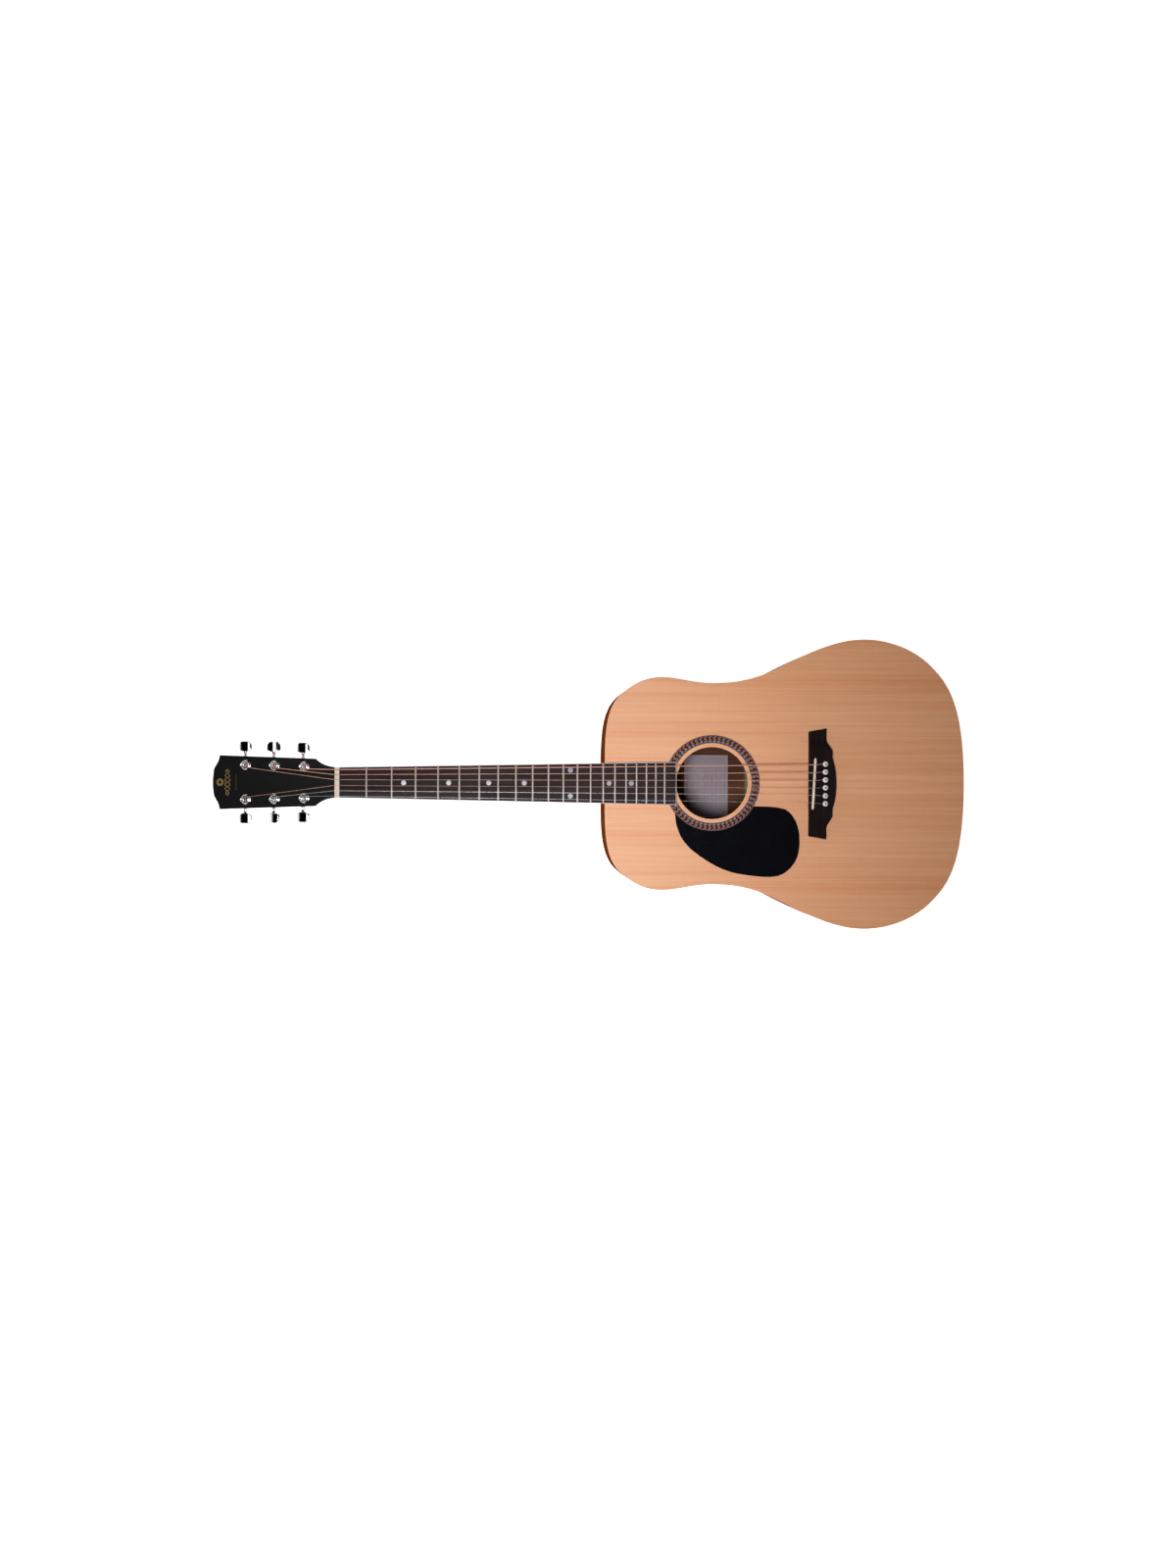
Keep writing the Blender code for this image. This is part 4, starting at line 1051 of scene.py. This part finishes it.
BRIDGE_REAR = (                      # y, and the rear edge's x there
    (0, 683.4), (12, 682.8), (24, 681.2), (35, 678.4), (45.6, 678.1), (47, 677.4), (53.4, 673.7),
    (58, 671.2), (60.5, 670.8), (66, 670.8), (77.1, 670.8),
)


def bridge_edges(y):
    """Front and rear x of the bridge at this distance, in mm, from its centre line."""
    y = abs(y)
    return 645.9 + max(y - 72.6, 0) * 24.9 / 4.4, eased(BRIDGE_REAR, y)


def wing_height(y):
    """The bridge's top: level over the strings, scooped down to thin wings."""
    t = min(max((abs(y) - 45) / 19, 0), 1)
    return 3.6 + (BRIDGE_H - 3.6) * (1 - t * t * (3 - 2 * t))


def make_bridge():
    places = [76.96, 76.9, 76.7, 76.2, 75.5, 74.8, 74.2, 73.6, 73, 72.6, 72, 71]
    y = 69
    while y > 0:
        places.append(y)
        y -= 1.5
    places = places + [0] + [-y for y in reversed(places)]
    sections = []
    for y in places:
        front, rear = bridge_edges(y)
        top, low = wing_height(y), HAIRLINE
        lip = min(1.1, (rear - front) * 0.3)
        bends = [(lip * (1 - cos(a)), lip * (1 - sin(a))) for a in (0.4, 0.8, 1.2, pi / 2)]
        shape = [(front, low), (front, top - lip)]
        shape += [(front + dx, top - dz) for dx, dz in bends]
        shape += [(rear - dx, top - dz) for dx, dz in reversed(bends)]
        shape += [(rear, top - lip), (rear, low)]
        sections.append([(x, y, z) for x, z in shape])
    bridge = loft("bridge_base", sections, BOARD)
    saddle_place = BOARD @ shift(*SADDLE_CENTRE, 0) @ Matrix.Rotation(SADDLE_YAW, 4, "Z")
    tools = [moved(slot_solid(SADDLE_LENGTH / 2 + 0.15, SADDLE_W / 2 + 0.12, 3, 20), saddle_place)]
    for _, radius, _, _, y in STRINGS:
        half = max(radius + 0.25, 0.7)
        near, far = y - half, y + half
        hole = cylinder("hole", PIN_HOLE_R + 0.15, (PIN_X, y, -5), (PIN_X, y, 20))
        tools.append(moved(hole, BOARD))
        tools.append(box("slot", (STRING_SLOT_X - 1, near, -5), (PIN_X, far, 20), BOARD))
        tools.append(loft("ramp", [
            [(x, near, z), (x, far, z), (x, far, 20), (x, near, 20)]
            for x, z in ((660.2, 8.3), (664.2, 4.5), (665.4, 2.5))
        ], BOARD))
    bridge = cut(bridge, *tools)
    dress(smooth(clean(bridge), 30), "bridge_wood", replaces=["bridge"])
    make_saddle(saddle_place)


def slot_solid(half_length, half_width, low, high):
    """A slot's outline with round ends, as a solid that runs along y."""
    points = []
    for sign in (1, -1):
        for i in range(13):
            a = pi * i / 12
            y = half_length - half_width + half_width * sin(a)
            points.append((sign * half_width * cos(a), sign * y))
    return plate("slot", [points], low, high, 0)


def make_saddle(place):
    """Round ends, a crowned top, and its crest set back for the treble strings."""
    half, wide = SADDLE_LENGTH / 2, SADDLE_W / 2
    sections = []
    steps = 60
    for i in range(steps + 1):
        y = half * (2 * i / steps - 1)
        rounding = sqrt(max(half ** 2 - y ** 2, 0)) / sqrt(half ** 2 - (half - wide) ** 2)
        share = min(1, rounding)
        w = max(wide * share, 0.1)
        top = SADDLE_TOP + GAP - 0.05 - 0.6 * (y / half) ** 2
        step = 1 / (1 + exp((y + 12.3) / 0.25)) - 1 / (1 + exp((y + 21.5) / 0.25))
        crest = (-0.45 + 1.1 * step) * w
        shape = [
            (-w, 3), (-w, top - 1.1 - 0.5 * step), (crest - 0.45 * w, top - 0.22), (crest, top),
            (crest + 0.4 * w * (1 - step * 0.5), top - 0.15), (w, top - 1.0 + 0.3 * step), (w, 3),
        ]
        sections.append([(x, y, z) for x, z in shape])
    saddle = loft("saddle_bone", sections, place)
    dress(smooth(clean(saddle), 50), "bone", replaces=["saddle"])


def make_pins():
    low = BRIDGE_H + 0.1
    head = (
        (0, 4.1), (1.3, 4.05), (1.42, 3.98), (1.9, 3.8), (2.7, 3.3), (3.3, 2.6), (3.65, 1.9),
        (3.75, 1.3), (3.6, 0.75), (3.2, 0.35), (2.75, 0.1), (2.4, 0), (2.3, -0.3), (2.25, -1),
    )
    stem = ((1.95, -19), (1.7, -22.3), (1.1, -23.6), (0, -24))
    for name, _, _, _, y in STRINGS:
        place = BOARD @ shift(PIN_X, y, low)
        pin = turned(f"pin_{name}_body", head + stem, 48, place)
        groove = box("groove", (-4, -0.7, -30), (-1.2, 0.7, -0.6), place)
        pin = cut(pin, groove)
        dress(smooth(clean(pin), 30), "pin", f"pin_{name}", [f"bridge_pin_{name}"])
        dot = ((0, 4.22), (0.8, 4.18), (1.15, 4.12), (1.3, 4.06), (1.25, 3.9), (0, 3.9))
        dot = turned(f"pin_{name}_dot", dot, 32, place)
        dress(smooth(dot), "pin_dot", f"pin_{name}")


def make_scratch_plate():
    outer = bezier(SCRATCH_PLATE, 24)
    radius = ROSETTE_OUT + 0.1
    down, up = (asin((end[1] - HOLE.y) / radius) for end in (outer[-1], outer[0]))
    first, last = -pi - down, up
    steps = 72
    angles = [first + (last - first) * i / steps for i in range(steps + 1)]
    inner = [(HOLE.x + radius * cos(a), HOLE.y + radius * sin(a)) for a in angles]
    cover = plate("scratch_plate_sheet", [outer + inner], HAIRLINE, 0.8, 0.3, BOARD)
    dress(smooth(cover), "scratch_plate", replaces=["scratch_plate"])


# --- strings

PLATE_LOW = -SOUNDBOARD_T - 2 * GAP - 2.5     # underside of the bridge plate


def post_contact(string):
    """Where the string meets its post, in the head's frame, and the post's side."""
    name, radius, y_nut, _, _ = string
    post = POSTS[name]
    side = 1 if post.y > 0 else -1
    reach = WAIST_R + radius
    over_nut = HEAD_IN_BOARD.inverted() @ Vector((NUT_BACK_X, y_nut, NUT_H))
    way = Vector((post.x - over_nut.x, post.y - over_nut.y))
    turn = asin(reach / way.length)
    heading = atan2(way.y, way.x) + side * turn
    length = sqrt(way.length ** 2 - reach ** 2)
    x, y = over_nut.x + length * cos(heading), over_nut.y + length * sin(heading)
    return Vector((x, y, STRING_W)), side


def string_points(string):
    _, r, y_nut, y_saddle, y_pin = string
    contact, _ = post_contact(string)
    saddle_x = SADDLE_CENTRE[0] + (y_saddle - SADDLE_CENTRE[1]) * tan(-SADDLE_YAW)
    at_saddle = SADDLE_TOP + GAP + r - 0.6 * (y_saddle / (SADDLE_LENGTH / 2)) ** 2
    nut_z = NUT_H + GAP + r
    x = STRING_SLOT_X
    return [
        HEAD_IN_BOARD @ contact,
        Vector((NUT_BACK_X - 0.3, y_nut, nut_z - 1.25)),
        Vector((NUT_BACK_X + 2.2, y_nut, nut_z - 0.62)),
        Vector((NUT_FRONT_X, y_nut, nut_z)),
        Vector((saddle_x - 0.9, y_saddle, at_saddle)),
        Vector((saddle_x + 0.4, y_saddle, at_saddle - 0.05)),
        Vector((saddle_x + 1.6, y_saddle, at_saddle - 0.75)),
        Vector((x - 2.8, y_pin, 8.1 + r)),
        Vector((x - 1.2, y_pin, 6.9 + r)),
        Vector((x - 0.25, y_pin, 5.2)),
        Vector((x, y_pin, 3.2)),
        Vector((x, y_pin, PLATE_LOW - 1.2)),
        Vector((x - 1.2, y_pin, PLATE_LOW - 2.6)),
    ]


def make_string(string):
    name, radius = string[:2]
    material = "plain_string" if name in PLAIN else f"wound_{name}"
    line = wire(f"string_{name}_wire", string_points(string), radius, BOARD)
    dress(line, material, replaces=[f"string_{name}"])
    ball = turned(f"string_{name}_ball", [
        (0.8, -1.7), (1.6, -1.7), (1.9, -1.2), (1.5, 0), (1.9, 1.2), (1.6, 1.7), (0.8, 1.7),
    ], 28, BOARD @ shift(STRING_SLOT_X - 1.4, string[4], PLATE_LOW - 4.4))
    dress(smooth(ball, 40), "brass", replaces=[f"string_{name}"])
    contact, side = post_contact(string)
    post = POSTS[name]
    reach = WAIST_R + radius
    first = atan2(contact.y - post.y, contact.x - post.x)
    drop = 2.06 * radius
    per_turn = 28
    coil = []
    for i in range(int(4.6 / drop * per_turn) + 1):
        t = i / per_turn
        a = first + side * 2 * pi * t
        rise = 0 if t < 0.15 else -(t - 0.15) * drop
        coil.append((reach * cos(a), reach * sin(a), STRING_W + rise))
    place = HEAD @ shift(post.x, post.y, 0)
    wrap = wire(f"string_{name}_coil", coil, radius, place, 3)
    dress(wrap, material, f"post_{name}")


# --- tuners

QUARTER_TURN = Matrix.Rotation(-pi / 2, 4, "X")
BUTTON_SHAPE = (                     # half of its outline: half-width, and distance from the post
    (2.4, 18.4), (6.2, 19.4), (10.1, 21.4), (10.5, 22.6), (10.5, 28.6), (10.1, 29.8), (6.6, 33.8),
    (5.6, 34.3),
)


def make_bushing(name, place):
    """Dress washer, hexagon nut and the sleeve that the post turns in."""
    washer = turned("washer", (
        (3.4, 0.02), (6.7, 0.02), (7.0, 0.25), (6.95, 0.7), (6.5, 1.05), (5.9, 1.15), (3.4, 1.15),
    ), 56, place)
    nut = cylinder("hexagon", 6.15, (0, 0, 1.05), (0, 0, 3.4), 6)
    bore = cylinder("bore", 3.4, (0, 0, -1), (0, 0, 9), 32)
    cone = turned("cone", ((0, 0.9), (6.0, 0.9), (6.0, 2.6), (4.9, 3.7), (0, 3.7)), 48)
    nut = combine(nut, [cone], "INTERSECT")
    nut = cut(nut, bore)
    nut.matrix_world = place
    sleeve = turned("sleeve", (
        (3.3, -15), (5.0, -15), (5.0, 3.3), (4.7, 3.75), (4.2, 3.95), (3.5, 3.95), (3.3, 3.8),
    ), 40, place)
    piece = joined(f"tuner_{name}_dress_nut", [washer, nut, sleeve])
    dress(smooth(piece, 30), "chrome", replaces=[f"tuner_{name}_bushing"])


def make_post(name, place):
    top, low = WORM_W + 2.7, WORM_W - 2.7
    post = turned(f"tuner_{name}_string_post", (
        (0, 15.5), (0.7, 15.65), (1.3, 15.95), (1.7, 16), (2.3, 15.85), (2.75, 15.45), (3.0, 14.8),
        (3.0, 13.3), (2.85, 12.8), (2.55, 12.3), (2.4, 11.7), (2.4, 4.9), (2.55, 4.5), (2.85, 4.3),
        (3.0, 4.2), (3.0, top), (7.0, top), (7.4, top - 0.4), (7.1, WORM_W), (7.4, low + 0.4),
        (7.0, low), (0, low),
    ), 48, place)
    eye = moved(cylinder("eye", 0.9, (-5, 0, 11.2), (5, 0, 11.2), 20), place)
    post = cut(post, eye)
    dress(smooth(clean(post), 30), "chrome", f"post_{name}", [f"tuner_{name}_post"])


def make_housing(name, side, place):
    """Sealed gear case with a round gear cover, a mounting screw and the boss for the shaft."""
    top = -HEAD_T - 0.05
    low = top - HOUSING_H
    case = box("case", (-15, -9.2, low), (9.2, 9.2, top))
    edges = case.modifiers.new("edges", "BEVEL")
    edges.width = 3.2 * MM
    edges.segments = 6
    edges.limit_method = "ANGLE"
    edges.angle_limit = radians(35)
    edges.harden_normals = False
    case = bake(case)
    boss = turned("boss", ((0, 6), (4.4, 6), (4.4, 11.6), (3.9, 12.6), (3.4, 13), (0, 13)), 40)
    boss.data.transform(shift(-WORM_S, 0, WORM_W) @ QUARTER_TURN)
    if side < 0:
        boss.data.transform(Matrix.Diagonal((1, -1, 1, 1)))
    rim = ((0, 0), (6.4, 0), (6.9, -0.1), (7.2, -0.4), (7.2, -0.5), (0, -0.5))
    cover = turned("cover", rim, 48)
    cover.data.transform(shift(0, 0, low + 0.2))
    case = combine(case, [boss], "UNION")
    case = cut(
        case,
        cylinder("pocket", 7.7, (0, 0, WORM_W - 3), (0, 0, WORM_W + 3), 40),
        cylinder("bore", 3.3, (0, 0, WORM_W), (0, 0, 0), 32),
        cylinder("way", 2.85, (-WORM_S, -7, WORM_W), (-WORM_S, side * 20, WORM_W), 28),
    )
    case.matrix_world = place
    cover.matrix_world = place
    piece = joined(f"tuner_{name}_gear_case", [clean(case), cover])
    dress(smooth(piece, 30), "chrome", replaces=[f"tuner_{name}_housing"])
    screw_place = place @ shift(-11.4, -side * 5.6, low - 0.05)
    dress(smooth(screw(f"tuner_{name}_screw", 2.1, screw_place)), "steel")


def screw(name, radius, place):
    """A cross-head screw, its domed head pointing along -z."""
    dome = ((0, -1.0), (0.45, -0.97), (0.8, -0.75), (0.97, -0.4), (1.0, 0), (0.9, 0.25), (0, 0.25))
    head = turned(name, [(r * radius, z * 0.9) for r, z in dome], 36)
    arm, thin, deep = radius * 0.62, radius * 0.13, -0.45
    slots = [
        box("slot", (-arm, -thin, -3), (arm, thin, deep)),
        box("slot", (-thin, -arm, -3), (thin, arm, deep)),
    ]
    head = cut(head, *slots)
    head.matrix_world = place
    return clean(head)


def make_button(name, place):
    """Eight-sided button on the worm's shaft, lens-shaped across it, so it mirrors in stripes."""
    mid = (BUTTON_SHAPE[0][1] + BUTTON_SHAPE[-1][1]) / 2
    corners = [*BUTTON_SHAPE, *((-x, y) for x, y in reversed(BUTTON_SHAPE))]
    edges = []
    for (x0, y0), (x1, y1) in zip(corners, corners[1:] + corners[:1]):
        length = hypot(x1 - x0, y1 - y0)
        nx, ny = (y1 - y0) / length, (x0 - x1) / length
        facing = copysign(1, ny * (mid - y0) - nx * x0)
        edges.append((facing * nx, facing * ny, x0, y0))
    radial, around, thick = 22, 72, 4.1
    bm = bmesh.new()
    upper, lower = [], []
    for k in range(around):
        a = 2 * pi * k / around
        reach = 100
        for nx, ny, x, y in edges:
            slope = -nx * cos(a) - ny * sin(a)
            if slope > 1e-6:
                reach = min(reach, (ny * (mid - y) - nx * x) / slope)
        top, low = [], []
        for i in range(1, radial + 1):
            r = reach * sin(pi / 2 * i / radial)
            x, y = r * cos(a), mid + r * sin(a)
            gap = min(nx * (x - ex) + ny * (y - ey) for nx, ny, ex, ey in edges)
            rim = sqrt(max(1 - (1 - min(max(gap, 0) / 1.5, 1)) ** 2, 0))
            z = thick * sqrt(1 - (x / 11.6) ** 2) * rim
            top.append(bm.verts.new((x * MM, y * MM, z * MM)))
            low.append(top[-1] if i == radial else bm.verts.new((x * MM, y * MM, -z * MM)))
        upper.append(top)
        lower.append(low)
    for face, z in ((upper, thick), (lower, -thick)):
        centre = bm.verts.new((0, mid * MM, z * MM))
        for k in range(around):
            here, there = face[k], face[(k + 1) % around]
            bm.faces.new((centre, here[0], there[0]))
            for i in range(radial - 1):
                bm.faces.new((here[i], here[i + 1], there[i + 1], there[i]))
    knob = from_bmesh("knob", bm)
    shaft = turned("shaft", (
        (0, -6.5), (2.6, -6.5), (2.6, 7), (2.4, 7.4), (2.4, 7.6), (2.4, 16.6), (2.4, 16.8),
        (2.8, 17.2), (3.2, 17.9), (3.2, 19.6), (0, 21),
    ), 36)
    shaft.data.transform(QUARTER_TURN)
    piece = joined(f"tuner_{name}_knob", [moved(knob, place), moved(shaft, place)])
    smooth(clean(piece), 40, False)
    dress(piece, "chrome", f"button_{name}", [f"tuner_{name}_button"])
    end = place @ shift(0, BUTTON_FAR - 0.5, 0) @ QUARTER_TURN.inverted()
    dress(smooth(screw(f"tuner_{name}_knob_screw", 2.0, end)), "steel", f"button_{name}")


def make_tuners():
    for name, post in POSTS.items():
        side = 1 if post.y > 0 else -1
        place = HEAD @ shift(post.x, post.y, 0)
        make_bushing(name, place)
        make_post(name, place)
        make_housing(name, side, place)
        half_turn = Matrix.Rotation(0 if side > 0 else pi, 4, "Z")
        angle = Matrix.Rotation(radians(BUTTON_ANGLES[name]), 4, "Y")
        knob_place = place @ shift(-WORM_S, 0, WORM_W) @ half_turn @ angle
        make_button(name, knob_place)


# --- CAD nodes that stay

def repaint(material, *nodes):
    for node in nodes:
        for slot in frame["nodes"][node].material_slots:
            slot.material = MATERIALS[material]


def repaint_nodes():
    backs = [f"back_brace_{number}" for number in (1, 2, 3, 4)]
    # The upper and back braces take the brace wood darkened as painted shade.
    repaint("bracing_across_painted_shade", "upper_brace", *backs)
    repaint("bracing_plus", "x_brace_1")
    repaint("bracing_minus", "x_brace_2")
    # The bridge plate, inside the body, takes the inside wood with its painted shade.
    repaint("mahogany_inside", "bridge_plate")
    repaint("mahogany_block", "neck_block", "tail_block")
    repaint("steel", "truss_rod", "truss_rod_nut")


# --- stage

def make_floor():
    bm = bmesh.new()
    bmesh.ops.create_grid(bm, x_segments=1, y_segments=1, size=FLOOR_HALF_M)
    floor = from_bmesh("floor", bm, shift(0, 0, -0.2), False)
    paint = Paint("floor", 0.9, Emission_Color=(1, 1, 1, 1), Emission_Strength=FLOOR_GLOW)
    place = paint.place()
    paint.feed("Base Color", paint.blend(paint.noise(place, 1.5, 2.0), FLOOR_PALE, FLOOR_LIGHT))
    floor.data.materials.append(paint.material)


def make_camera():
    data = bpy.data.cameras.new("camera")
    data.lens = CAMERA_LENS
    data.sensor_width = 36
    data.sensor_fit = "AUTO"
    data.clip_start, data.clip_end = 0.05, 50
    eye, target = (Vector(point) * MM for point in (CAMERA_EYE, CAMERA_TARGET))
    forward = (target - eye).normalized()
    right = forward.cross(Vector((0, 1, 0))).normalized()
    up = right.cross(forward)
    across, along = cos(CAMERA_ROLL), sin(CAMERA_ROLL)
    right, up = right * across + up * along, up * across - right * along
    matrix = Matrix((right, up, -forward)).transposed().to_4x4()
    matrix.translation = eye
    camera = link("camera", data, BOARD @ matrix)
    bpy.context.scene.camera = camera


def make_key_light():
    data = bpy.data.lights.new("key", "AREA")
    data.shape = "DISK"
    data.size = KEY_SIZE
    data.energy = KEY_POWER
    data.spread = radians(KEY_SPREAD)
    place, target = Vector(KEY_PLACE) * MM, Vector(KEY_TARGET) * MM
    matrix = (target - place).to_track_quat("-Z", "Y").to_matrix().to_4x4()
    matrix.translation = place
    link("key", data, BOARD @ matrix)


def make_world():
    world = bpy.data.worlds.new("studio")
    world.use_nodes = True
    tree = world.node_tree

    def maths(operation, *values):
        return add_node(tree, "Math", dict(enumerate(values)), operation=operation).outputs[0]

    def ramp(value, start, end, low, high):
        inputs = dict(enumerate((value, start, end, low, high)))
        return add_node(tree, "MapRange", inputs, interpolation_type="SMOOTHSTEP").outputs[0]

    direction = add_node(tree, "TexCoord").outputs["Generated"]
    x, y, z = add_node(tree, "SeparateXYZ", {0: direction}).outputs
    wave = maths("SINE", maths("MULTIPLY_ADD", maths("ARCTAN2", y, x), SKY_BOXES, 0.9))
    boxes = ramp(wave, -0.2, 0.35, 0.85, 1.15)
    fall = ramp(z, 0.22, 0.48, SKY_SIDES, 0)
    near, far = ramp(x, -0.14, -0.18, 0, 1), ramp(x, -0.36, -0.40, 1, 0)
    ends = ramp(maths("ABSOLUTE", y), 0.18, 0.24, SKY_STRIP, 0)
    strip = maths("MULTIPLY_ADD", maths("MULTIPLY", near, far), ends, SKY_TOP)
    strength = maths("MULTIPLY_ADD", boxes, fall, strip)
    tree.nodes["Background"].inputs["Color"].default_value = (1, 1, 1, 1)
    tree.links.new(strength, tree.nodes["Background"].inputs["Strength"])
    bpy.context.scene.world = world


# --- assembly

def build():
    make_soundboard()
    make_rosette()
    make_side("bass", 1)
    make_side("treble", -1)
    for make in (
        make_back, make_label, make_tone_bars, make_neck, make_headplate, make_ornament,
        make_fretboard, make_nut, make_bridge, make_pins, make_scratch_plate,
    ):
        make()
    for string in STRINGS:
        make_string(string)
    make_tuners()
    repaint_nodes()
    make_floor()
    make_world()
    make_key_light()
    make_camera()
    bpy.context.scene.view_settings.view_transform = "Standard"


build()
